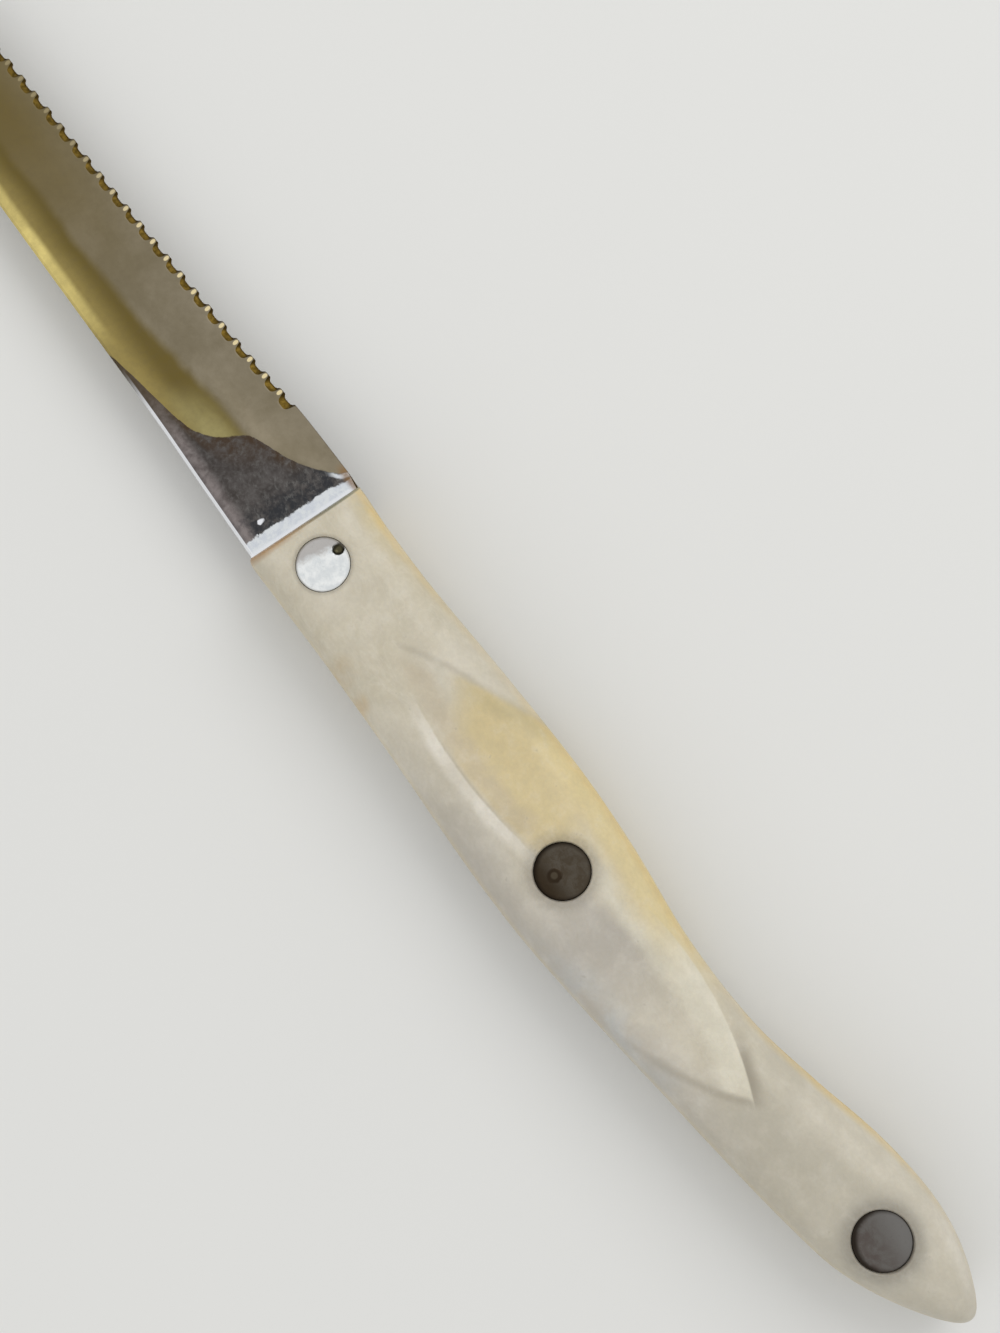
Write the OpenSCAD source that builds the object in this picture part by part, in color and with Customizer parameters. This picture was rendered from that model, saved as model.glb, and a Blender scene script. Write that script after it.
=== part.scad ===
// Serrated kitchen knife with a full tang, two sculpted resin scales and three two-part rivets.
// The knife lies on its left scale: +X is towards the tip, +Y towards the spine,
// -Y towards the teeth, and the origin is under the middle of the knife.

/* [Handle] */
// Length of the handle, from the front end of the scales to the butt
handle_l = 126.5; // [105:0.5:150]
// Width of the handle across its widest place, near the middle rivet
handle_w = 18.7; // [16:0.1:24]
// Thickness over both scales
handle_t = 14; // [11:0.5:18]
// Width of the rounded shoulder along each long edge of a scale
shoulder_w = 3.8; // [2.5:0.1:5]
// Length over which the outline closes into the butt
butt_l = 16; // [10:0.5:24]
// Length over which a scale's thickness rounds off at the butt
butt_round = 8; // [4:0.5:12]
// Radius that softens the front edge of each scale
front_round = 0.5; // [0.3:0.1:1.5]
// Lean of the scales' front end back from the blade, in degrees from upright
front_lean = 19; // [5:1:22]
// Slant of the scales' front end, in degrees from square
front_slant = 6.5; // [0:0.5:10]
// Length of the rounded front corner of each scale on the spine side
corner_l = 1.6; // [0.8:0.1:2.4]
// How far that corner falls away towards the front end
corner_d = 0.6; // [0.2:0.1:1]
// How far the scales stand out past the tang along the outline
scale_proud = 0.15; // [0.05:0.05:0.4]

/* [Hollows in the scales] */
// Depth of the finger hollow, in front of the middle rivet
front_hollow_d = 1.9; // [0.5:0.1:2.6]
// Depth of the palm hollow, behind the middle rivet
rear_hollow_d = 1.9; // [0.5:0.1:2.6]
// Width over which a hollow deepens from its long ridge
ridge_w = 8; // [4:0.5:12]
// Width over which a hollow deepens from its end crease
crease_w = 10; // [5:0.5:14]
// Radius of the flat pad round the middle rivet
pad_r = 4.4; // [3.8:0.1:6]
// Width over which the hollows fade out towards that pad
pad_fade = 11; // [6:0.5:16]

/* [Blade] */
// Length of the blade, from the handle to the tip
blade_l = 124; // [90:1:160]
// Width of the blade where it leaves the handle
blade_w = 17.2; // [14:0.2:22]
// Thickness of the ricasso and the tang
blade_t = 1.9; // [1.4:0.1:2.6]
// Thickness left at the cutting edge
edge_t = 0.3; // [0.2:0.05:0.5]
// Thickness left at the tip end of the spine
tip_t = 1; // [0.8:0.1:1.4]
// Height of the blunt end of the tip
tip_w = 0.7; // [0.4:0.1:1.2]
// Length over which the hollow grind reaches its full depth
plunge_l = 24; // [12:1:36]

/* [Teeth] */
// Plain heel between the handle and the first scallop
heel_l = 13; // [8:0.5:24]
// Plain length left at the tip
tip_plain_l = 9; // [6:0.5:20]
// Distance from tooth to tooth
tooth_pitch = 3.1; // [2.4:0.1:5]
// Radius of the wheel profile that grinds a scallop
scallop_r = 2.9; // [2.2:0.1:4]
// Depth of a scallop at the middle of the blade's thickness
scallop_d = 0.75; // [0.4:0.05:1]
// Lean of the scallops, in degrees from square to the blade
scallop_lean = 57; // [40:1:62]

/* [Rivets] */
// Diameter of the rivet heads
head_d = 7; // [5.5:0.1:8]
// Thickness of the rivet heads
head_t = 1.6; // [1:0.1:2.2]
// Diameter of the solid post
post_d = 3.2; // [2.4:0.1:3.6]
// Outer diameter of the tubular sleeve
sleeve_d = 4.8; // [4.2:0.1:5.2]
// Radial room between a head and its hole in the scale
head_clear = 0.1; // [0.05:0.05:0.3]
// Radial room between a sleeve and its holes
shank_clear = 0.1; // [0.05:0.05:0.3]
// Radial room between a post and its sleeve
post_clear = 0.03; // [0.02:0.01:0.08]
// Room left between the end of a post and the bottom of its sleeve
end_clear = 0.3; // [0.1:0.1:0.8]
// How deep the front heads lie below the face of the scales
front_recess = 0; // [0:0.05:0.3]
// How deep the middle heads lie below the face
middle_recess = 0.3; // [0:0.05:0.6]
// How deep the rear heads lie below the face
rear_recess = 0.5; // [0:0.05:0.8]
// How far the middle rivet sits off the line of the other two, towards the spine
middle_rise = 1.35; // [0:0.05:2]

/* [Hidden] */
$fn = 64;

// Overrun of every cutting tool past the surface that it cuts
over = 1;
// Half of the tang's thickness, which is also the inner face of each scale
half_t = blade_t / 2;
// Thickness of one scale over its flat lands
scale_t = handle_t / 2 - half_t;
// How far the front end leans back at that thickness, and the length over which it fades out
lean_d = scale_t * tan(front_lean);
lean_l = 2 * lean_d;

// Handle outline: share of the length from the front end, then the half width and the
// middle line, both as shares of the handle's width
handle_shares = [
    [0, 0.462, -0.06],
    [0.06, 0.453, -0.035],
    [0.13, 0.451, -0.014],
    [0.26, 0.478, 0.016],
    [0.38, 0.5, 0.06],
    [0.47, 0.478, 0.1],
    [0.57, 0.41, 0.138],
    [0.67, 0.374, 0.126],
    [0.75, 0.39, 0.072],
    [0.82, 0.41, 0.01],
    [0.88, 0.398, -0.032],
    [0.94, 0.342, -0.078],
    [1, 0.24, -0.11]
];
// Blade outline: share of the blade's length, then the spine and the edge as shares of
// the blade's width, measured from the line of the front and rear rivets
blade_shares = [
    [0, 0.406, -0.572],
    [0.1, 0.353, -0.596],
    [0.2, 0.298, -0.582],
    [0.48, 0.188, -0.606],
    [0.68, 0.1, -0.628],
    [0.82, -0.05, -0.63],
    [0.92, -0.27, -0.616],
    [1, -0.54, -0.58]
];
// Where the hollow grind starts on the flat ricasso: share of the blade's length, then
// share of its width, from the cutting edge up to the spine
plunge_shares = [
    [0.012, -0.58],
    [0.022, -0.478],
    [0.061, -0.304],
    [0.098, -0.219],
    [0.113, -0.174],
    [0.131, 0],
    [0.15, 0.102],
    [0.177, 0.166],
    [0.277, 0.248],
    [0.33, 0.42]
];
// Rivet places as shares of the handle's length, from the front end
front_rivet_share = 0.0602;
middle_rivet_share = 0.4435;
rear_rivet_share = 0.8866;
// Ridge of the finger hollow: its two ends and its bulge towards the spine, the ends as
// shares of the handle's length and width, the bulge as a share of the width
front_ridge_shares = [[0.166, -0.01], [0.394, 0.158]];
front_bulge_share = 0.085;
// Crease of the finger hollow, from near its apex to the edge side
front_crease_shares = [[0.184, -0.112], [0.317, -0.452]];
// Ridge of the palm hollow, with its bulge towards the cutting edge
rear_ridge_shares = [[0.717, 0.053], [0.509, -0.195]];
rear_bulge_share = 0.11;
// Crease of the palm hollow, from near its apex to the spine side
rear_crease_shares = [[0.695, 0.211], [0.619, 0.426]];
// Bend of each crease where it meets the apex, as a share of the handle's width
crease_bend_share = 0.021;
// Length of that bend, as a share of the handle's length
crease_bend_l_share = 0.04;
// Shares of the blade's width at which a section of the grind has its points
grind_shares = [0, 0.08, 0.2, 0.35, 0.5, 0.65, 0.78, 0.88, 0.95, 1];
// Share of the hollow grind's curve: 1 is a flat bevel, more is hollower
grind_curve_share = 1.5;
// Share of the blade's length over which it keeps its full thickness
full_t_share = 0.35;

// Sections along each scale, and points round a shoulder and across a land
scale_steps = 56;
shoulder_steps = 6;
land_steps = 8;
// Steps round the front edge of a scale, then steps round its butt
front_steps = 3;
butt_steps = 10;
// Blunt end of that rounding, in degrees short of the very end of the butt
butt_blunt = 6;
// Sections along the ground blade
blade_steps = 46;
// Share of those sections that crowd towards both ends of the blade
crowd_share = 0.25;

// Smooth value of one column of a table of points at place x, with the x in column 0
function table(points, x, column) =
    let (
        last = len(points) - 1,
        i = max([for (k = [0 : last - 1]) if (k == 0 || points[k][0] <= x) k]),
        p0 = points[max(i - 1, 0)],
        p1 = points[i],
        p2 = points[i + 1],
        p3 = points[min(i + 2, last)],
        span = p2[0] - p1[0],
        t = (x - p1[0]) / span,
        m1 = span * (p2[column] - p0[column]) / (p2[0] - p0[0]),
        m2 = span * (p3[column] - p1[column]) / (p3[0] - p1[0]),
        t2 = t * t,
        t3 = t2 * t
    )
    (2 * t3 - 3 * t2 + 1) * p1[column] + (t3 - 2 * t2 + t) * m1
    + (3 * t2 - 2 * t3) * p2[column] + (t3 - t2) * m2;

// 0 up to t = 0, then a steep start that levels off at 1
function rise(t) = t <= 0 ? 0 : t >= 1 ? 1 : 1 - (1 - t) * (1 - t);

// 0 up to t = 0 and 1 from t = 1, with soft ends
function soft(t) = t <= 0 ? 0 : t >= 1 ? 1 : t * t * (3 - 2 * t);

// Height of a quarter circle of radius 1 at distance t from its foot
function quarter(t) = t >= 1 ? 1 : t <= 0 ? 0 : sqrt(1 - (1 - t) * (1 - t));

// Half width and middle line of the handle at distance s behind its front end
function handle_half(s) =
    handle_w * table(handle_shares, s / handle_l, 1) * quarter((handle_l - s) / butt_l);
function handle_mid(s) = handle_w * table(handle_shares, s / handle_l, 2);

// How far the slanted front end shifts a point at height y, fading out behind it
function slant_x(s, y) =
    tan(front_slant) * (y - handle_mid(0)) * (1 - soft(s / (front_rivet_share * handle_l)));

// A point given in shares of the handle, in millimetres
function on_handle(shares) = [-shares[0] * handle_l, shares[1] * handle_w];

// Depth of a point inside the arc from a to b that bulges to its right by the given amount
function arc_depth(p, a, b, bulge) =
    let (
        chord = norm(b - a),
        along = (b - a) / chord,
        right = [along[1], -along[0]],
        radius = chord * chord / (8 * bulge) + bulge / 2,
        centre = (a + b) / 2 - right * (radius - bulge)
    )
    radius - norm(p - centre);

// Depth of a point inside a crease that runs from a to b, bent round near a
function crease_depth(p, a, b) =
    let (
        along = (b - a) / norm(b - a),
        inward = [along[1], -along[0]],
        bend_l = crease_bend_l_share * handle_l,
        back = max(0, bend_l - (p - a) * along) / bend_l
    )
    (p - a) * inward - crease_bend_share * handle_w * back * back;

// Middle of the middle rivet
middle_xy = [-middle_rivet_share * handle_l, middle_rise];

// How much a hollow is let in at a point, by its distance from the pad round the rivet
function pad_share(p) = soft((norm(p - middle_xy) - pad_r) / pad_fade);

// Depth of both hollows below the lands of a scale at point p
function hollow(p) =
    let (
        front = rise(arc_depth(p, on_handle(front_ridge_shares[0]),
                on_handle(front_ridge_shares[1]), front_bulge_share * handle_w) / ridge_w)
            * rise(crease_depth(p, on_handle(front_crease_shares[0]),
                on_handle(front_crease_shares[1])) / crease_w),
        rear = rise(arc_depth(p, on_handle(rear_ridge_shares[0]),
                on_handle(rear_ridge_shares[1]), rear_bulge_share * handle_w) / ridge_w)
            * rise(crease_depth(p, on_handle(rear_crease_shares[0]),
                on_handle(rear_crease_shares[1])) / crease_w)
    )
    pad_share(p) * (front_hollow_d * front + rear_hollow_d * rear);

// Stations along a scale: close together at the rounded front edge and at the butt
scale_stations = concat(
    [for (k = [0 : front_steps]) front_round * (1 - cos(90 * k / front_steps))],
    [for (k = [1 : scale_steps]) front_round + k * (handle_l - butt_l - front_round) / scale_steps],
    [for (k = [1 : butt_steps])
        handle_l - butt_l * (1 - cos(90 - k * (90 - butt_blunt) / butt_steps))]
);

// One section of the right scale at distance s, from its spine side to its edge side
function scale_ring(s) =
    let (
        corner = corner_d * (1 - quarter(s / corner_l)),
        half = handle_half(s) - corner / 2,
        mid = handle_mid(s) - corner / 2,
        shoulder = min(shoulder_w, half),
        land = half - shoulder,
        front_drop = front_round * (1 - quarter(s / front_round)),
        end_share = quarter((handle_l - s) / butt_round),
        around = concat(
            [for (k = [0 : shoulder_steps]) [land + shoulder * cos(90 * k / shoulder_steps),
                sin(90 * k / shoulder_steps)]],
            [for (k = [1 : land_steps - 1]) [land * (1 - 2 * k / land_steps), 1]],
            [for (k = [shoulder_steps : -1 : 0]) [-land - shoulder * cos(90 * k / shoulder_steps),
                sin(90 * k / shoulder_steps)]]
        )
    )
    [for (p = around)
        let (
            y = mid + p[0],
            x = slant_x(s, y) - s,
            rise_z = p[1] * end_share * (scale_t - hollow([x, y]) - front_drop),
            lean = lean_d * (1 - soft(s / lean_l)) * rise_z / scale_t
        )
        [x - lean, y, half_t + rise_z]];

// Mean of a ring of points
function middle(ring) = [for (p = ring) 1] * ring / len(ring);

// A closed body through rings of points that all run the same way round
module loft(rings) {
    n = len(rings[0]);
    last = len(rings) - 1;
    first_cap = n * len(rings);
    last_cap = first_cap + 1;
    polyhedron(
        points = concat(
            [for (ring = rings) for (p = ring) p],
            [middle(rings[0]), middle(rings[last])]
        ),
        faces = concat(
            [for (k = [0 : n - 1]) [first_cap, k, (k + 1) % n]],
            [for (i = [0 : last - 1]) for (k = [0 : n - 1])
                for (face = [
                    [i * n + k, (i + 1) * n + k, i * n + (k + 1) % n],
                    [i * n + (k + 1) % n, (i + 1) * n + k, (i + 1) * n + (k + 1) % n]
                ]) face],
            [for (k = [0 : n - 1]) [last_cap, last * n + (k + 1) % n, last * n + k]]
        )
    );
}

// Highest and lowest places of the outline, which centre the knife on its origin
outline_top = max([for (s = scale_stations) handle_mid(s) + handle_half(s)]);
outline_low = min([for (row = blade_shares) row[2] * blade_w]);
place = [(max(scale_stations) - blade_l) / 2, -(outline_top + outline_low) / 2, handle_t / 2];

// Puts a piece, drawn from the front of the handle, where it lies
module placed() {
    translate(place) children();
}

// Holes for one rivet through a scale or the tang, with the wide hole for its head
module rivet_holes(share, rise_y, recess) {
    translate([-share * handle_l, rise_y, 0]) {
        cylinder(d = sleeve_d + 2 * shank_clear, h = handle_t + 2 * over, center = true);
        translate([0, 0, handle_t / 2 - recess - head_t])
            cylinder(d = head_d + 2 * head_clear, h = head_t + recess + over);
    }
}

// The right scale before it is placed, with its flat inner face on the tang
module scale_body() {
    difference() {
        loft([for (k = [len(scale_stations) - 1 : -1 : 0]) scale_ring(scale_stations[k])]);
        rivet_holes(front_rivet_share, 0, front_recess);
        rivet_holes(middle_rivet_share, middle_rise, middle_recess);
        rivet_holes(rear_rivet_share, 0, rear_recess);
    }
}

// Spine and edge of the blade at distance x from the handle
function spine_y(x) = blade_w * table(blade_shares, x / blade_l, 1);
function edge_y(x) = blade_w * table(blade_shares, x / blade_l, 2);

// Half thickness of the unground blade, thinning towards the tip
function stock_half(x) =
    half_t - (half_t - tip_t / 2) * soft((x / blade_l - full_t_share) / (1 - full_t_share));

// Where the hollow grind starts at height y, as a distance from the handle
function plunge_x(y) =
    blade_l * table([for (row = plunge_shares) [row[1], row[0]]],
        min(max(y / blade_w, plunge_shares[0][1]), plunge_shares[len(plunge_shares) - 1][1]), 1);

// Half thickness of the ground blade at distance x, at a share of the way to the edge
function ground_half(x, share) =
    let (
        y = spine_y(x) + share * (edge_y(x) - spine_y(x)),
        stock = stock_half(x),
        cut = (stock - edge_t / 2) * (1 - pow(1 - share, grind_curve_share))
    )
    stock - cut * rise((x - plunge_x(y)) / plunge_l);

// Where the sections of the blade begin, just in front of the slanted scales
blade_start = tan(front_slant) * blade_w / 2 + front_round / 2;

// A flat-sided ring through points [x, y, half thickness], right face first
function flat_ring(points) = concat(
    points,
    [for (k = [len(points) - 1 : -1 : 0]) [points[k][0], points[k][1], -points[k][2]]]
);

// One section of the tang at distance s behind the front end of the scales
function tang_ring(s) = flat_ring([for (share = grind_shares)
    let (y = handle_mid(s) + (handle_half(s) - scale_proud) * (1 - 2 * share))
    [slant_x(s, y) - s, y, half_t]]);

// One section of the ground blade at distance x
function blade_ring(x) =
    let (top = spine_y(x), low = min(edge_y(x), top - tip_w))
    flat_ring([for (share = grind_shares)
        [x, top + share * (low - top), ground_half(x, share)]]);

// Where the tang ends, just inside the butt of the scales
tang_end = max(scale_stations) - scale_proud;

// Stations along the tang, from the butt forward: its end, then every second one of the scales'
tang_stations = concat(
    [tang_end],
    [for (k = [len(scale_stations) - 1 : -2 : 0])
        let (s = scale_stations[k])
        if (s >= 2 * front_round && s < tang_end - scale_proud) s]
);

// Stations along the ground blade: closer together in the plunge and at the tip
blade_stations = [for (k = [0 : blade_steps])
    let (t = k / blade_steps)
    blade_start + (blade_l - blade_start)
        * ((1 - crowd_share) * t + crowd_share * (1 - cos(180 * t)) / 2)];

// The row of scallops, ground from the right face of the blade
tooth_count = floor((blade_l - tip_plain_l - heel_l) / tooth_pitch);
module scallops() {
    for (k = [0 : tooth_count - 1])
        let (x = heel_l + (k + 0.5) * tooth_pitch)
            translate([x, edge_y(x) + scallop_d, 0])
                rotate([-scallop_lean, 0, 0])
                    translate([0, -scallop_r, 0])
                        cylinder(r = scallop_r, h = 4 * blade_t, center = true);
}

module blade() {
    color([0.52, 0.5, 0.46])
        placed()
            difference() {
                loft(concat(
                    [for (s = tang_stations) tang_ring(s)],
                    [for (x = blade_stations) blade_ring(x)]
                ));
                scallops();
                for (hole = [[front_rivet_share, 0], [middle_rivet_share, middle_rise],
                        [rear_rivet_share, 0]])
                    translate([-hole[0] * handle_l, hole[1], 0])
                        cylinder(d = sleeve_d + 2 * shank_clear, h = blade_t + 2 * over,
                            center = true);
            }
}

module right_scale() {
    color([0.8, 0.76, 0.65])
        placed()
            scale_body();
}

module left_scale() {
    color([0.8, 0.76, 0.65])
        placed()
            mirror([0, 0, 1]) scale_body();
}

// Distance from the tang's middle to the shoulder under a head that lies recess deep
function seat_z(recess) = handle_t / 2 - recess - head_t;

// The solid half of a rivet, head up, with its post reaching down into the sleeve
module rivet_post(share, rise_y, recess) {
    seat = seat_z(recess);
    placed()
        translate([-share * handle_l, rise_y, 0]) {
            translate([0, 0, seat]) cylinder(d = head_d, h = head_t);
            translate([0, 0, end_clear - seat]) cylinder(d = post_d, h = 2 * seat - end_clear);
        }
}

// The tubular half of a rivet, head down, open at its upper end
module rivet_sleeve(share, rise_y, recess) {
    seat = seat_z(recess);
    placed()
        translate([-share * handle_l, rise_y, 0])
            difference() {
                union() {
                    translate([0, 0, -seat - head_t]) cylinder(d = head_d, h = head_t);
                    translate([0, 0, -seat]) cylinder(d = sleeve_d, h = 2 * seat - end_clear);
                }
                translate([0, 0, -seat]) cylinder(d = post_d + 2 * post_clear, h = 2 * seat + over);
            }
}

module front_rivet_post() {
    color([0.8, 0.81, 0.83]) rivet_post(front_rivet_share, 0, front_recess);
}

module front_rivet_sleeve() {
    color([0.8, 0.81, 0.83]) rivet_sleeve(front_rivet_share, 0, front_recess);
}

module middle_rivet_post() {
    color([0.33, 0.3, 0.28]) rivet_post(middle_rivet_share, middle_rise, middle_recess);
}

module middle_rivet_sleeve() {
    color([0.33, 0.3, 0.28]) rivet_sleeve(middle_rivet_share, middle_rise, middle_recess);
}

module rear_rivet_post() {
    color([0.45, 0.44, 0.44]) rivet_post(rear_rivet_share, 0, rear_recess);
}

module rear_rivet_sleeve() {
    color([0.45, 0.44, 0.44]) rivet_sleeve(rear_rivet_share, 0, rear_recess);
}

blade();
right_scale();
left_scale();
front_rivet_post();
front_rivet_sleeve();
middle_rivet_post();
middle_rivet_sleeve();
rear_rivet_post();
rear_rivet_sleeve();
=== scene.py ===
"""Looks of the serrated kitchen knife: its ground blade, its two resin scales and its rivets."""

import logging
from dataclasses import dataclass, field, replace
from enum import Enum
from functools import cache, cached_property, partialmethod
from math import cos, hypot, pi, radians, sin, sqrt, tan, tau
from typing import Callable, Sequence

import bmesh
import bpy
from bmesh.types import BMEdge, BMesh, BMVert
from bpy.types import ID, Material, NodeSocket, Object, World
from mathutils import Color, Matrix, Vector


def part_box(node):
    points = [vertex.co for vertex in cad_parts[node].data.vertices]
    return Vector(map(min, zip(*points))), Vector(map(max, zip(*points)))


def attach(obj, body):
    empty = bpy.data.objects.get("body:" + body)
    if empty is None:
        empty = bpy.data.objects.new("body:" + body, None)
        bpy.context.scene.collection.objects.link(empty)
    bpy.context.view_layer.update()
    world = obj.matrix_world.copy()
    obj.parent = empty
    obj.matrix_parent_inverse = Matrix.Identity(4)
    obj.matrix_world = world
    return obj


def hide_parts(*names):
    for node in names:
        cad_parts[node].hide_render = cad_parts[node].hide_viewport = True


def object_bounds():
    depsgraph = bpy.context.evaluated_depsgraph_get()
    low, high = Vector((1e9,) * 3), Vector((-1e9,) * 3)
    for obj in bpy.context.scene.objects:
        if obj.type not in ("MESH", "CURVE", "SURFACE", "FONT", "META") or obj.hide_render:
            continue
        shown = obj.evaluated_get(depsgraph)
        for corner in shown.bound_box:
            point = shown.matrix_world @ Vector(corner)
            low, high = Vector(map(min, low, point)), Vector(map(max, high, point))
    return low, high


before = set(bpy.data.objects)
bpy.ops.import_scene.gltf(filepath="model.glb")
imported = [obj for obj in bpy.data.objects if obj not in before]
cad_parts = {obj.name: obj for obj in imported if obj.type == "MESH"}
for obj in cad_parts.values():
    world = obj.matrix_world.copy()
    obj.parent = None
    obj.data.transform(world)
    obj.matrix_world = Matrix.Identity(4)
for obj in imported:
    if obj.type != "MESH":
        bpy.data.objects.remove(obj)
cad_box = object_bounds()

log = logging.getLogger("knife")

MM = 0.001
BODY = "root"
SHANK_HOLE = 2.5
MERGE = 1e-4
Colour = tuple[int, int, int]
Plan = tuple[float, float]
Line = tuple[Plan, Plan]


@cache
def node_box(node: str) -> tuple[Vector, Vector]:
    """Lowest and highest corner of a CAD node, measured once."""
    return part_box(node)


def held(t: float, low: float = 0.0, high: float = 1.0) -> float:
    """t, held between two limits."""
    return min(max(t, low), high)


def soft(t: float) -> float:
    """0 up to t = 0 and 1 from t = 1, with soft ends."""
    return held(t) ** 2 * (3 - 2 * held(t))


def rise(t: float) -> float:
    """0 up to t = 0, then a steep start that levels off at 1."""
    return 1 - (1 - held(t)) ** 2


def quarter(t: float) -> float:
    """Height of a quarter circle of radius 1 at distance t from its foot."""
    return sqrt(rise(t))


def fall(t: float) -> float:
    """1 up to t = 0, then an ever steeper fall to 0 at t = 1, with no kink where it starts."""
    return (1 - held(t) ** 2.6) ** 0.46


def eased(t: float, ease: float) -> float:
    """t where it is over ease, 0 where it is under -ease, with a round bend between."""
    return max(t, 0.0) if abs(t) >= ease else (t + ease) ** 2 / (4 * ease)


def mixed(a: float, b: float, share: float) -> float:
    """The value at a share of the way from a to b."""
    return a + (b - a) * share


def spread(a: float, b: float, steps: int, power: float = 1.0) -> list[float]:
    """Values from a to b, both counted in, crowded towards a by a power over 1."""
    return [mixed(a, b, (k / steps) ** power) for k in range(steps + 1)]


def linear(colour: Colour) -> tuple[float, ...]:
    """A display colour of 0 to 255 as a linear one for a shader."""
    return (*Color([value / 255 for value in colour]).from_srgb_to_scene_linear(), 1.0)


@dataclass(frozen=True)
class ShareTable:
    """A smooth curve through rows of shares, whose first column is the place along it."""

    rows: tuple[tuple[float, ...], ...]

    def at(self, place: float, column: int = 1) -> float:
        """Value of one column at a place, on a cubic through the rows.

        Args:
            place: Share along the curve, held within its first and last rows.
            column: Number of the column that is read.

        Returns:
            The value.
        """
        rows, last = self.rows, len(self.rows) - 1
        place = held(place, rows[0][0], rows[last][0])
        i = max(k for k in range(last) if k == 0 or rows[k][0] <= place)
        before, start, end, after = (rows[held(k, 0, last)] for k in range(i - 1, i + 3))
        span = end[0] - start[0]
        t = (place - start[0]) / span
        slope_in = span * (end[column] - before[column]) / (end[0] - before[0])
        slope_out = span * (after[column] - start[column]) / (after[0] - start[0])
        return ((2 * t**3 - 3 * t**2 + 1) * start[column] + (t**3 - 2 * t**2 + t) * slope_in
                + (3 * t**2 - 2 * t**3) * end[column] + (t**3 - t**2) * slope_out)


HANDLE_OUTLINE = ShareTable((
    (0, 0.462, -0.06), (0.06, 0.453, -0.035), (0.13, 0.451, -0.014), (0.26, 0.478, 0.016),
    (0.38, 0.5, 0.06), (0.47, 0.478, 0.1), (0.57, 0.41, 0.138), (0.67, 0.374, 0.126),
    (0.75, 0.39, 0.072), (0.82, 0.41, 0.01), (0.88, 0.398, -0.032), (0.94, 0.342, -0.078),
    (1, 0.24, -0.11),
))
BLADE_OUTLINE = ShareTable((
    (0, 0.406, -0.572), (0.1, 0.353, -0.596), (0.2, 0.298, -0.582), (0.48, 0.188, -0.606),
    (0.68, 0.1, -0.628), (0.82, -0.05, -0.63), (0.92, -0.27, -0.616), (1, -0.54, -0.58),
))
GRIND_START = ShareTable((
    (-0.58, 0.012), (-0.478, 0.022), (-0.304, 0.061), (-0.219, 0.098), (-0.174, 0.113),
    (0, 0.131), (0.102, 0.15), (0.166, 0.177), (0.248, 0.277), (0.42, 0.33),
))
FRONT_RIVET_SHARE, MIDDLE_RIVET_SHARE, REAR_RIVET_SHARE = 0.0602, 0.4435, 0.8866


@dataclass(frozen=True)
class KnifeFrame:
    """The knife's own frame, in millimetres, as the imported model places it.

    x runs forward from the front end of the handle, y from the line of the front and rear
    rivets towards the spine, and z up from the middle of the tang.
    """

    origin: Vector
    handle_length: float
    handle_end: float
    handle_width: float
    handle_half: float
    tang_half: float
    blade_length: float
    middle_rise: float

    @classmethod
    def measured(cls) -> "KnifeFrame":
        """The frame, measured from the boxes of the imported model's nodes.

        Returns:
            The frame that every other class places its points with.
        """
        front, middle, rear = (sum(node_box(f"{name}_rivet_post"), Vector()) / 2
                               for name in ("front", "middle", "rear"))
        scale_low, scale_high = node_box("right_scale")
        blade_low, blade_high = node_box("blade")
        length = (front.x - rear.x) / (REAR_RIVET_SHARE - FRONT_RIVET_SHARE)
        origin = Vector((front.x + FRONT_RIVET_SHARE * length, front.y,
                         (blade_low.z + blade_high.z) / 2))
        top = max(HANDLE_OUTLINE.at(k / 400, 2) + HANDLE_OUTLINE.at(k / 400) for k in range(401))
        return cls(
            origin=origin,
            handle_length=length / MM,
            handle_end=(origin.x - scale_low.x) / MM,
            handle_width=(scale_high.y - origin.y) / MM / top,
            handle_half=(scale_high.z - origin.z) / MM,
            tang_half=(scale_low.z - origin.z) / MM,
            blade_length=(blade_high.x - origin.x) / MM,
            middle_rise=(middle.y - front.y) / MM,
        )

    def point(self, x: float, y: float, z: float) -> Vector:
        """A point of the knife, in metres in the shared frame."""
        return self.origin + Vector((x, y, z)) * MM

    def box(self, node: str) -> list[Vector]:
        """Lowest and highest corner of a CAD node, in the knife's own millimetres."""
        return [(corner - self.origin) / MM for corner in node_box(node)]


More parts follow.
